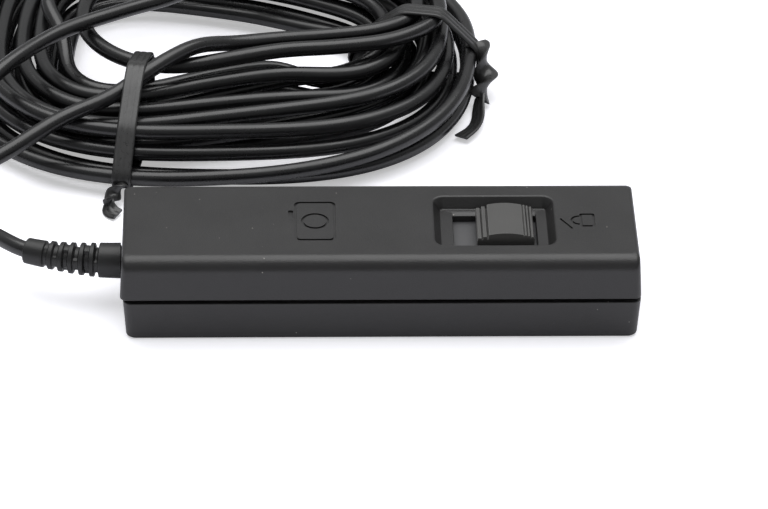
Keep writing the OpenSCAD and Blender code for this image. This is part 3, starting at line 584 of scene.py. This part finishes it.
def build_case_bottom():
    """Lower shell: a tray with rounded edges, the screw wells and the notch for the boot."""
    base_r, top_r, corner_r = 0.6, 0.2, 1.6
    height = LOWER_Z
    length, width = lower_high[0] - lower_low[0], lower_high[1] - lower_low[1]
    more = (0.5, 0.35)                # its ends stand a little further out than in the CAD part
    length += sum(more)
    centre = ((lower_low[0] - more[0] + lower_high[0] + more[1]) / 2, 0)
    rows = []
    for rise, inset in quarter(base_r, 6)[::-1]:
        rows.append((base_r - rise, inset))
    rows += [(z, 0.0) for z in np.linspace(base_r, height - top_r, 5)[1:]]
    rows += [(height - top_r + rise, inset) for rise, inset in quarter(top_r, 4)[1:]]
    plan = []
    for z, inset in rows:
        total = inset + DRAFT * (1 - z / height)
        plan.append((z, length - 2 * total, width - 2 * total, corner_r))
    piece = loft_plan("case_bottom", centre, plan)
    inner_x, inner_y = CASE_L / 2 - WALL + 0.1, CASE_W / 2 - WALL + 0.1
    combine(piece, box_tool((-inner_x, -inner_y, WALL), (inner_x, inner_y, height + 1)), "DIFFERENCE")
    screw_low, screw_high = box_mm("case_screws")
    head_r, well_r, well_z = 1.9, 2.0, 1.75
    for x in (screw_low[0] + head_r, screw_high[0] - head_r):
        for y in (screw_low[1] + head_r, screw_high[1] - head_r):
            combine(piece, cylinder_z("well", x, y, -1, well_z, well_r), "DIFFERENCE")
    combine(piece, cylinder_x("notch", lower_low[0] - 2, lower_low[0] + 4, 0, CABLE_Z, NOTCH_R), "DIFFERENCE")
    return finish_piece(piece, "hand_unit", MATERIALS["case"], "case", ["lower_shell"])


# ---------------- the button

def arc_points(x0, x1, crown_z, drop, steps):
    """Shallow arch from x0 to x1, drop lower at its ends than at its crown."""
    half = (x1 - x0) / 2
    radius = (half * half + drop * drop) / (2 * drop)
    xs = np.linspace(x0, x1, steps + 1)
    return [(x, crown_z - radius + math.sqrt(radius ** 2 - (x - (x0 + x1) / 2) ** 2)) for x in xs]


def cap_outline():
    """Side view of the button cap, from its lower left corner, over the ribs and the arch, to the right."""
    x0, x1, base, crown = cap_low[0], cap_high[0], cap_low[2], cap_high[2]
    arch0, arch1 = x0 + 2.0, x1 - 1.95
    drop = 0.38

    def rib(left, width, top, groove):
        bead = 0.1
        return [(left, groove), (left, top - bead), (left + bead, top),
                (left + width - bead, top), (left + width, top - bead), (left + width, groove)]

    points = [(x0, base), (x0, crown - 1.5)]
    points += rib(x0 + 0.05, 0.72, crown - 1.05, crown - 1.5)
    points += rib(x0 + 0.98, 0.72, crown - 0.75, crown - 1.3)
    points += [(arch0 - 0.05, crown - 1.2)]
    points += arc_points(arch0, arch1, crown, drop, 24)
    points += [(arch1 + 0.02, crown - drop - 0.3)]
    points += rib(arch1 + 0.2, 0.42, crown - drop - 0.06, crown - drop - 0.4)[1:-1]
    points += [(arch1 + 0.68, crown - drop - 0.5)]
    points += rib(arch1 + 0.76, 0.42, crown - drop - 0.22, crown - drop - 0.6)[1:-1]
    points += [(arch1 + 1.24, crown - drop - 0.75)]
    points += rib(arch1 + 1.32, 0.5, crown - drop - 0.45, crown - drop - 0.9)[1:-1]
    points += [(x1, crown - drop - 0.9), (x1, base)]
    return points


def build_button():
    """Thumb button: its side view carried across, with rounded side edges above its base."""
    outline = cap_outline()
    y0, y1 = cap_low[1], cap_high[1]
    edge_r = 0.176
    shape = bmesh.new()
    near = [shape.verts.new((x, y0, z)) for x, z in outline]
    far = [shape.verts.new((x, y1, z)) for x, z in outline]
    count = len(outline)
    ends = [shape.faces.new(near), shape.faces.new(far[::-1])]
    for i in range(count):
        j = (i + 1) % count
        shape.faces.new((near[j], near[i], far[i], far[j]))
    bmesh.ops.recalc_face_normals(shape, faces=shape.faces)
    rim = [e for face in ends for e in face.edges if min(v.co.z for v in e.verts) > cap_low[2] + 0.1]
    bmesh.ops.bevel(shape, geom=rim, offset=edge_r, offset_type="OFFSET", segments=3, profile=0.5,
                    affect="EDGES", clamp_overlap=True)
    mesh = bpy.data.meshes.new("button_cap")
    shape.to_mesh(mesh)
    shape.free()
    piece = make_object("button_cap", mesh)
    finish_piece(piece, "button", MATERIALS["button_grey"], "button_grey", ["thumb_button"], sharp_deg=40)


# ---------------- the return spring

def build_return_spring():
    """Coil spring under the button, rising evenly from its foot to its top."""
    wire_r, turns, press = 0.2, 4, 1.2
    low, high = box_mm("return_spring")
    mean_r = (high[0] - low[0]) / 2 - wire_r
    centre_x, centre_y = (low[0] + high[0]) / 2, (low[1] + high[1]) / 2
    path = []
    for share in np.linspace(0, 1, turns * 32 + 1):
        angle = 2 * math.pi * turns * share
        x, y = centre_x + mean_r * math.cos(angle), centre_y + mean_r * math.sin(angle)
        path.append((x, y, low[2] + wire_r + (high[2] - low[2] - 2 * wire_r) * share))
    piece = sweep("button_spring", path, circle_points(wire_r, 10))
    finish_piece(piece, "carriage", MATERIALS["spring_steel"], "spring_steel", ["return_spring"],
                 sharp_deg=60)
    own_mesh(piece)


# ---------------- the boot

BOOT_BEND_R = 45.0
BOOT = {"collar_l": 4.1, "collar_r": 3.2, "rings": 5, "pitch": 1.85, "ring_t": 0.95, "ring_r": 3.05,
        "taper": 0.12, "core_r": 2.0, "head_l": 3.8, "head_r": 2.4, "length": 17.55}


def boot_place(s):
    """Centre and heading of the boot, s millimetres from the case's end face along its bend."""
    a = np.asarray(s, float) / BOOT_BEND_R
    x = upper_low[0] - BOOT_BEND_R * np.sin(a)
    y = BOOT_BEND_R * (1 - np.cos(a))
    return np.stack([x, y, np.full_like(x, CABLE_Z)], -1)


def boot_radius(s, angle):
    """Outer radius of the boot at a place along it and an angle round it."""
    soft = 0.16
    radius = np.full(np.broadcast(s, angle).shape, BOOT["core_r"])

    def raise_to(value, start, end, share=1.0):
        inside = smooth_step(s, start - soft, start + soft) * (1 - smooth_step(s, end - soft, end + soft))
        return np.maximum(radius, BOOT["core_r"] + (value - BOOT["core_r"]) * inside * share)

    radius = raise_to(BOOT["collar_r"] - 0.02 * s, -1.0, BOOT["collar_l"] - 0.1)
    first = BOOT["collar_l"] + 0.5
    for i in range(BOOT["rings"]):
        start = first + i * BOOT["pitch"]
        radius = raise_to(BOOT["ring_r"] - i * BOOT["taper"], start, start + BOOT["ring_t"])
    for i in range(BOOT["rings"] + 1):
        start = first + (i - 1) * BOOT["pitch"] + BOOT["ring_t"] - 0.2
        turned = np.abs(np.cos(angle - (i % 2) * math.pi / 2))
        bridge = smooth_step(turned, 0.82, 0.93)
        radius = raise_to(BOOT["ring_r"] - 0.35 - i * BOOT["taper"], start, start + 1.3, bridge)
    head_at = BOOT["length"] - BOOT["head_l"]
    return raise_to(BOOT["head_r"] - 0.03 * (s - 15), head_at, BOOT["length"] - 0.15)


def build_boot():
    """Bend relief: collar, rings with bridges between them, and a rounded head."""
    along = np.arange(-1.7, BOOT["length"] + 0.001, 0.09)
    round_steps = 96
    angles = 2 * np.pi * np.arange(round_steps) / round_steps
    grid_s, grid_a = np.meshgrid(along, angles, indexing="ij")
    radius = boot_radius(grid_s, grid_a)
    inside_wall = grid_s < 0.1
    radius = np.where(inside_wall, np.minimum(radius, NOTCH_R - 0.1), radius)
    end_ease = np.clip((BOOT["length"] - grid_s) / 0.35, 0, 1)
    radius = radius * (0.86 + 0.14 * np.sqrt(1 - (1 - end_ease) ** 2))
    centre = boot_place(along)
    _, side, up = tube_frames(centre)
    across, upwards = np.cos(angles)[:, None], np.sin(angles)[:, None]
    loops = [centre[i] + radius[i][:, None] * (across * side[i] + upwards * up[i]) for i in range(len(along))]
    finish_piece(loft("boot", loops), "hand_unit", MATERIALS["boot_rubber"], "boot_rubber", ["cable_boot"],
                 sharp_deg=50)


# ---------------- the cable

CABLE_D = 2.96
STRAND_D = 3.0                        # room for one strand in the coil
COIL = {"centre": (-30.0, 74.5), "half_l": 49.0, "half_w": 42.0, "power": 2.4, "skew": 0.25, "columns": 6,
        "floor": 0.65, "start": -160.0, "end": 40.0, "fan": 0.66, "fan_at": -66.0, "fan_half": 75.0,
        "back_fan": 0.1, "back_half": 90.0, "sink": 0.05, "lean": 0.3}
COL_PITCH = 4.05
LEG = 4.35
TURN = math.pi * COL_PITCH / 2
COLUMN = LEG + TURN
BUNDLE_H = LEG + COL_PITCH
PART_LOOP = (COIL["end"] - COIL["start"]) / 360
LOOPS = math.floor((COIL["columns"] * COLUMN - TURN / 2) / COL_PITCH - 0.7 - PART_LOOP) + PART_LOOP
COIL_Z = COIL["floor"] + (STRAND_D + BUNDLE_H) / 2
TOP_Z = COIL_Z + BUNDLE_H / 2 + STRAND_D


def wind_at(s):
    """Place across and up the bundle, s millimetres along the winding's own zigzag."""
    j = math.floor(s / COLUMN)
    w = s - j * COLUMN
    way = -1 if j % 2 == 0 else 1
    if w < LEG:
        return j * COL_PITCH, way * (w - LEG / 2)
    a = (w - LEG) / (COL_PITCH / 2)
    return j * COL_PITCH + COL_PITCH / 2 * (1 - math.cos(a)), way * (LEG / 2 + COL_PITCH / 2 * math.sin(a))


def swell(angle, mid, half):
    """1 at one angle round the coil, falling smoothly to 0 on both sides."""
    x = (angle - mid + 180) % 360 - 180
    return math.cos(math.pi / 2 * x / half) ** 2 if abs(x) < half else 0.0


def spread(angle):
    return (1 + COIL["fan"] * swell(angle, COIL["fan_at"], COIL["fan_half"])
            + COIL["back_fan"] * swell(angle, COIL["fan_at"] + 180, COIL["back_half"]))


def coil_rim(angle):
    """Outer edge of the coil from its centre, and the direction that faces outwards there."""
    c, s = math.cos(math.radians(angle)), math.sin(math.radians(angle))
    power = COIL["power"]
    r = (abs(c / COIL["half_l"]) ** power + abs(s / COIL["half_w"]) ** power) ** (-1 / power)
    rim = np.array([r * c, r * s * (1 - COIL["skew"] * c if s > 0 else 1)])
    half = np.array([COIL["half_l"], COIL["half_w"]])
    out = np.sign(rim) * np.abs(rim / half) ** (power - 1) / half
    return rim, out / np.linalg.norm(out)


def coil_at(n):
    """Centre of the strand after n loops."""
    angle = COIL["start"] + 360 * n
    s = COL_PITCH * n + 0.35 * COL_PITCH * (1 + math.sin(math.radians(angle + 40)))
    across, rise = wind_at(s)
    rim, out = coil_rim(angle)
    front = swell(angle, COIL["fan_at"], COIL["fan_half"])
    height = rise + BUNDLE_H / 2
    inward = ((COIL["columns"] - 1) * COL_PITCH - across) * spread(angle) + COIL["lean"] * height * front
    x, y = COIL["centre"] + rim - inward * out
    return x, y, COIL_Z - BUNDLE_H / 2 + height * (1 - COIL["sink"] * front)


def over(x, y, rise=0.0):
    """A point on top of the bundle."""
    return x, y, TOP_Z + rise


def curve_through(points, steps):
    """Smooth curve through all but the first and last point, which only steer its ends."""
    p = np.asarray(points, float)
    made = []
    for i in range(1, len(p) - 2):
        for k in range(steps):
            t = k / steps
            made.append(0.5 * (2 * p[i] + (p[i + 1] - p[i - 1]) * t
                               + (2 * p[i - 1] - 5 * p[i] + 4 * p[i + 1] - p[i + 2]) * t * t
                               + (3 * p[i] - p[i - 1] - 3 * p[i + 1] + p[i + 2]) * t ** 3))
    return made


plug_low, plug_high = box_mm("plug_boot")
PLUG_REAR = np.array([plug_high[0], (plug_low[1] + plug_high[1]) / 2, (plug_low[2] + plug_high[2]) / 2])


def cable_path():
    """Centre line of the cable, from inside the case through the boot and the coil to the plug."""
    boot_l = BOOT["length"]
    inside = [(x, 0, CABLE_Z) for x in (-31, upper_low[0] + 1)]
    through = [tuple(boot_place(s)) for s in np.arange(0, boot_l, 0.5)]
    to_coil = [boot_place(boot_l - 2), boot_place(boot_l + 0.5), (-66.8, 6.8, 8.0), (-71, 12.8, 6.4),
               (-75, 20, 2.8), (-79.5, 30, 3), (-79, 41, 8.5), over(-71, 50, 2.2), over(-60, 63.5, 3.2),
               over(-48, 72, 3.1), over(-37, 79.5, 2.4), over(-27, 88, 3.2), over(-18, 97.5, 3.4),
               over(-6, 104.5, 1.6), coil_at(LOOPS), coil_at(LOOPS - 0.04)]
    steps = 72
    coil = [coil_at(LOOPS - i / steps) for i in range(int(LOOPS * steps) + 1)]
    to_plug = [coil_at(0.04), coil_at(0), (-59, 73.5, 11), over(-62, 82), over(-57, 92), over(-46, 98),
               over(-31, 99.5), over(-17, 97.5), over(-5, 94.5), over(6, 90.5), over(12.5, 83.5),
               over(12.5, 74), over(4.5, 67), over(-6, 64.3), over(-17, 63), over(-27, 60),
               over(-36, 57.4), over(-45, 59),
               over(-52, 65.5), over(-55, 74.5), over(-53, 84.5), over(-44.5, 92.3), over(-31, 95.6),
               over(-18, 93.6), over(-7, 90.7), over(3.3, 87.3), over(8.8, 82), over(8, 75), over(1, 70.2),
               over(-8.5, 68.2), over(-18, 67), over(-26, 64.3, 0.8), over(-32.5, 60, 3),
               over(-37.5, 55.4, 3.3), over(-42.5, 51, 2.4), over(-49, 46, 0.3), over(-58, 40, -0.6),
               (-69, 32.5, 9.6), (-79, 27.4, 7.4), (-87, 26.1, 5.2), PLUG_REAR, PLUG_REAR - (4, 0, 0)]
    path = inside + through + curve_through(to_coil, 12) + coil + curve_through(to_plug, 12)
    return np.array([tuple(p) for p in path] + [tuple(PLUG_REAR), tuple(PLUG_REAR - (8, 0, 0))])


def even_steps(path, step):
    """The same line with its points step apart."""
    length = np.r_[0, np.cumsum(np.linalg.norm(np.diff(path, axis=0), axis=1))]
    places = np.linspace(0, length[-1], int(length[-1] / step) + 1)
    return np.stack([np.interp(places, length, path[:, k]) for k in range(path.shape[1])], -1)


def build_cable():
    """The cable's jacket: a round tube along the path, with the path's kinks eased."""
    path = even_steps(cable_path(), 1.4)
    for _ in range(3):
        path[1:-1] = path[1:-1] * 0.5 + (path[:-2] + path[2:]) * 0.25
    piece = sweep("cable_jacket", path, circle_points(CABLE_D / 2, 16))
    finish_piece(piece, "hand_unit", MATERIALS["cable_jacket"], "cable_jacket", ["cable"], sharp_deg=60)


# ---------------- the ties

TIE_W = 3.6
TIE_T = 0.5
TIE_GAP = 0.12
# each tie: its angle round the coil, how far it turns from square to the strands, and the strands that it
# bends round, as distances outwards from the bundle's middle and heights
TIES = {
    "left_tie": (-112.3, 3.0, [(-12.9, 13.5), (-13, 4), (-8.5, 2.2), (8.4, 2.4), (12.1, 3.9), (5.5, 10),
                               (-1.8, 14.6), (-5.2, 15.9)]),
    "right_tie": (-2.0, -10.0, [(10.4, 3.3), (10.5, 7.3), (4.1, 13.5), (-1.8, 13.5), (-6.4, 9.8),
                                (-10.9, 4.2), (-8, 2.3), (6.3, 2.6)]),
}


def ribbon_outline(width, thickness, ridges=3):
    """Cross-section of a ribbon with ridges along both faces, rounded at its edges."""
    half = width / 2
    across = np.linspace(-half + thickness / 2, half - thickness / 2, 25)
    swell_up = 0.09 * np.abs(np.cos(np.pi * ridges * across / width)) ** 0.7
    top = [(x, thickness / 2 + up) for x, up in zip(across, swell_up)]
    round_right = [(half - thickness / 2 + thickness / 2 * math.cos(a), thickness / 2 * math.sin(a))
                   for a in (math.pi / 4, 0, -math.pi / 4)]
    bottom = [(x, -thickness / 2 - 0.4 * up) for x, up in zip(across[::-1], swell_up)]
    round_left = [(-x, y) for x, y in round_right[::-1]]
    return top + round_right + bottom + round_left


def ribbon(name, path, normals, width=TIE_W, thickness=TIE_T, closed=False, shape=None):
    """Ridged ribbon along a path, its broad faces square to normals."""
    path = np.asarray(path, float)
    if closed:
        tangent = np.roll(path, -1, 0) - np.roll(path, 1, 0)
    else:
        tangent = np.gradient(path, axis=0)
    tangent /= np.linalg.norm(tangent, axis=1)[:, None]
    side = np.cross(tangent, normals)
    side /= np.linalg.norm(side, axis=1)[:, None]
    up = np.cross(side, tangent)
    return sweep(name, path, shape or ribbon_outline(width, thickness), (tangent, side, up), closed)


def tie_frame(name):
    """Middle of the bundle at a tie and the direction across it, outwards."""
    angle, turn, _ = TIES[name]
    rim, out = coil_rim(angle)
    heading = math.atan2(out[1], out[0]) + math.radians(turn)
    out = np.array([math.cos(heading), math.sin(heading)])
    bundle_w = (COIL["columns"] - 1) * COL_PITCH * spread(angle)
    return np.array(COIL["centre"]) + rim - bundle_w / 2 * out, out


def hull_line(points):
    """Convex outline of flat points, counterclockwise."""
    points = sorted(points)

    def half(run):
        line = []
        for p in run:
            while len(line) > 1 and ((line[-1][0] - line[-2][0]) * (p[1] - line[-2][1])
                                     <= (line[-1][1] - line[-2][1]) * (p[0] - line[-2][0])):
                line.pop()
            line.append(p)
        return line[:-1]

    return half(points) + half(points[::-1])


def band_points(name):
    """Closed line of a tie's middle, pulled round its strands, and its outward normals."""
    middle, out = tie_frame(name)
    radius = STRAND_D / 2 + TIE_GAP + TIE_T / 2
    outline = hull_line([p for strand in TIES[name][2] for p in circle_points(radius, 40, strand)])
    line = even_steps(np.array(outline + outline[:1]), 0.5)[:-1]
    for _ in range(4):
        line = line * 0.5 + (np.roll(line, 1, 0) + np.roll(line, -1, 0)) * 0.25
    tangent = np.roll(line, -1, 0) - np.roll(line, 1, 0)
    tangent /= np.linalg.norm(tangent, axis=1)[:, None]
    points = np.column_stack([middle[0] + out[0] * line[:, 0], middle[1] + out[1] * line[:, 0], line[:, 1]])
    normals = np.column_stack([out[0] * tangent[:, 1], out[1] * tangent[:, 1], -tangent[:, 0]])
    return points, normals


def twisted_tail(name, path, turns, width):
    """The ribbon's ends twisted together: two thick lobes that turn as they go along the path."""
    path = even_steps(curve_line(path), 0.35)
    _, side, up = tube_frames(path)
    spin = 2 * np.pi * turns * np.linspace(0, 1, len(path))[:, None]
    normals = np.cos(spin) * up + np.sin(spin) * side
    lobes = []
    corners = 28
    for i in range(corners):
        a = 2 * math.pi * i / corners
        pinch = 0.55 + 0.45 * abs(math.cos(a))
        lobes.append((width / 2 * math.cos(a) * pinch, 0.85 * math.sin(a) * (0.7 + 0.3 * abs(math.cos(a)))))
    return ribbon(name, path, normals, shape=lobes)


def curve_line(points, steps=14):
    """Smooth curve through all the points."""
    first, last = 2 * points[0] - points[1], 2 * points[-1] - points[-2]
    line = curve_through([first, *points, last], steps)
    return np.array([*line, points[-1]])


def build_ties():
    """Each tie is a band round the strands, a twist of its two ends, and a loose end."""
    finish = dict(body="hand_unit", material=MATERIALS["tie_plastic"], slot="tie_plastic", sharp_deg=45)
    for name in TIES:
        points, normals = band_points(name)
        finish_piece(ribbon(name + "_band", points, normals, closed=True), replaced=[name], **finish)
        middle, out = tie_frame(name)
        along = np.array([-out[1], out[0]])
        edge = middle + out * (max(x for x, _ in TIES[name][2]) + STRAND_D / 2 + TIE_T)

        def at(outwards, sideways, z):
            x, y = edge + out * outwards + along * sideways
            return np.array([x, y, z])

        if name == "right_tie":
            knot = [at(-0.9, 0.6, 8.8), at(0.5, -1, 7.4), at(1.7, -3.4, 5.4), at(1.9, -6, 3.6),
                    at(1.2, -8.4, 2.2)]
            loose = [at(1.3, -8, 2.3), at(1.4, -10.2, 1.6), at(1.8, -14.2, 1.1), at(1.3, -17.8, 1.1),
                     at(-0.3, -21.2, 1.2)]
            turns, width = 0.9, 4.8
        else:
            knot = [at(-0.5, 0, 3.6), at(0.5, -0.5, 2.9), at(1.5, -1.1, 2.2), at(2.6, -1.7, 1.6),
                    at(3.8, -1.9, 1.3)]
            loose = [at(3, -1.8, 1.4), at(4.2, -1.6, 1), at(5.2, -0.8, 0.8), at(5.8, 0.4, 0.8)]
            turns, width = 0.8, 3.2
        finish_piece(twisted_tail(name + "_twist", knot, turns, width), **finish)
        line = even_steps(curve_line(loose), 0.5)
        _, side, up = tube_frames(line)
        lean = np.linspace(0.9, 0.1, len(line))[:, None]
        normals = np.cos(lean) * up + np.sin(lean) * side
        finish_piece(ribbon(name + "_tail", line, normals, width=3.0, thickness=0.4), **finish)


# ---------------- the plug

def lathe_x(name, x_start, centre, profile, steps=64):
    """Turned solid along -X: profile is (distance from x_start, radius)."""
    return loft(name, [[(x_start - along, centre[0] + a, centre[1] + b)
                        for a, b in circle_points(radius, steps)] for along, radius in profile])


def loft_x(name, centre, rows, steps=8):
    """Loft of rounded rectangles along X: each row is (x, size in Y, size in Z, corner radius)."""
    return loft(name, [[(x, centre[0] + a, centre[1] + b) for a, b in rounded_rect(w, h, r, steps)]
                       for x, w, h, r in rows])


def plug_profile(boot_l):
    """Outline of the plug's boot: soft ribs on a cone, smooth near the housing."""
    profile = [(0, 1.62), (0, 2.0), (0.12, 2.16)]
    for along in np.arange(0.2, boot_l, 0.1):
        cone = 2.25 + 0.75 * along / boot_l
        ribbed = along < boot_l - 1.4
        wave = max(0.0, math.sin(2 * math.pi * (along - 0.5) / 2.2)) ** 0.6 if ribbed else 0.6
        profile.append((along, cone + 0.35 * wave))
    return profile + [(boot_l, 3.1)]


def build_plug():
    """The plug's ribbed boot and its housing with grip grooves, a narrower nose and a socket."""
    centre = (PLUG_REAR[1], PLUG_REAR[2])
    boot = lathe_x("plug_boot_skin", plug_high[0], centre, plug_profile(plug_high[0] - plug_low[0]))
    finish_piece(boot, "hand_unit", MATERIALS["boot_rubber"], "boot_rubber", ["plug_boot"], sharp_deg=50)
    low, high = box_mm("plug_housing")
    w, h, ease, corner_r = high[1] - low[1], high[2] - low[2], 0.7, 1.6
    nose_x, nose_w, nose_h = low[0] + 5.0, 8.8, 6.0
    socket_w, socket_h, socket_r = 7.4, 4.6, 0.4
    rows = []
    for a in np.linspace(0, math.pi / 2, 7):
        inset = ease * (1 - math.sin(a))
        rows.append((high[0] - ease * (1 - math.cos(a)), w - 2 * inset, h - 2 * inset, corner_r))
    rows += [(high[0] - 5, w, h, corner_r), (nose_x + 0.3, w - 0.2, h - 0.2, corner_r),
             (nose_x, w - 0.8, h - 0.8, 1.4), (nose_x - 0.01, nose_w, nose_h, 0.8),
             (low[0] + 0.3, nose_w, nose_h, 0.8), (low[0], nose_w - 0.4, nose_h - 0.4, 0.7)]
    housing = loft_x("plug_body", centre, rows)
    socket = loft_x("socket", centre, [(x, socket_w, socket_h, socket_r) for x in (low[0] - 1, nose_x + 4)])
    combine(housing, socket, "DIFFERENCE")
    for side in (-1, 1):
        for i in range(5):
            x = high[0] - 4 - i * 1.6
            y = centre[0] + side * w / 2
            groove = box_tool((x - 0.35, y - 0.4, centre[1] - h), (x + 0.35, y + 0.4, centre[1] + h), 0.15)
            combine(housing, groove, "DIFFERENCE")
    finish_piece(housing, "hand_unit", MATERIALS["plug_black"], "plug_black", ["plug_housing"])


# ---------------- the stage

def softbox(name, place, size, power):
    """Area light that faces the middle of the scene."""
    light = bpy.data.lights.new(name, "AREA")
    light.shape = "RECTANGLE"
    light.size, light.size_y = size
    light.energy = power
    lamp = bpy.data.objects.new(name, light)
    bpy.context.scene.collection.objects.link(lamp)
    lamp.location = place
    lamp.rotation_euler = (-lamp.location).to_track_quat("-Z", "Y").to_euler()
    return lamp


def build_floor():
    """White paper that glows a little for the camera only, so that it comes out white."""
    half, glow = 2.5, 0.42
    mesh = bpy.data.meshes.new("floor")
    corners = [(-half, -half, 0), (half, -half, 0), (half, half, 0), (-half, half, 0)]
    mesh.from_pydata(corners, [], [(0, 1, 2, 3)])
    floor = make_object("floor", mesh)
    m = Nodes("floor_paper")
    m.surface(m.mix(m.noise(60), (0.89, 0.89, 0.95), (0.92, 0.92, 0.98)), 0.7, specular=0.2)
    seen = m.node("ShaderNodeLightPath").outputs["Is Camera Ray"]
    m.shader.inputs["Emission Color"].default_value = (1, 1, 1, 1)
    m.link(m.math("MULTIPLY", seen, glow), m.shader.inputs["Emission Strength"])
    mesh.materials.append(m.material)


def build_camera():
    """Camera that looks down on the hand unit from in front, at the photograph's angle."""
    pitch, yaw, roll = math.radians(33.994), math.radians(-1.832), math.radians(-0.811)
    right = Vector((math.cos(yaw), math.sin(yaw), 0))
    flat = Vector((-math.sin(yaw), math.cos(yaw), 0))
    forward = flat * math.cos(pitch) - Vector((0, 0, 1)) * math.sin(pitch)
    up = right.cross(forward)
    rolled_right = right * math.cos(roll) - up * math.sin(roll)
    rolled_up = right * math.sin(roll) + up * math.cos(roll)
    camera = bpy.data.cameras.new("camera")
    camera.lens = 216.0
    camera.sensor_width = 36.0
    camera.clip_start, camera.clip_end = 0.01, 10
    view = bpy.data.objects.new("camera", camera)
    bpy.context.scene.collection.objects.link(view)
    turn = Matrix((rolled_right, rolled_up, -forward)).transposed()
    view.matrix_world = Matrix.Translation(Vector((-20.96, -681.36, 469.07)) * MM) @ turn.to_4x4()
    bpy.context.scene.camera = view


def build_lights():
    """A big softbox above, a weak one low in front, and a room that is brighter behind than in front."""
    world = bpy.data.worlds.new("studio")
    bpy.context.scene.world = world
    world.use_nodes = True
    tree = world.node_tree
    background = tree.nodes["Background"]
    background.inputs["Color"].default_value = (0.98, 0.99, 1.0, 1)
    place = tree.nodes.new("ShaderNodeTexCoord")
    lean = tree.nodes.new("ShaderNodeVectorMath")
    lean.operation = "DOT_PRODUCT"
    lean.inputs[1].default_value = (0, 0.55, 0.85)
    ramp = tree.nodes.new("ShaderNodeMapRange")
    ramp.interpolation_type = "SMOOTHSTEP"
    for key, value in (("From Min", -0.1), ("From Max", 0.8), ("To Min", 0.22), ("To Max", 0.5)):
        ramp.inputs[key].default_value = value
    tree.links.new(place.outputs["Generated"], lean.inputs[0])
    tree.links.new(lean.outputs["Value"], ramp.inputs["Value"])
    tree.links.new(ramp.outputs["Result"], background.inputs["Strength"])
    softbox("overhead", place=(0.0, 0.22, 0.92), size=(1.2, 0.95), power=9.4)
    fill = softbox("front_fill", place=(0.0, -0.9, 0.25), size=(1.0, 0.3), power=2.0)
    fill.visible_glossy = False


build_case_top()
build_case_bottom()
build_button()
build_return_spring()
build_boot()
build_cable()
build_ties()
build_plug()
build_floor()
build_camera()
build_lights()
bpy.context.scene.view_settings.view_transform = "Standard"
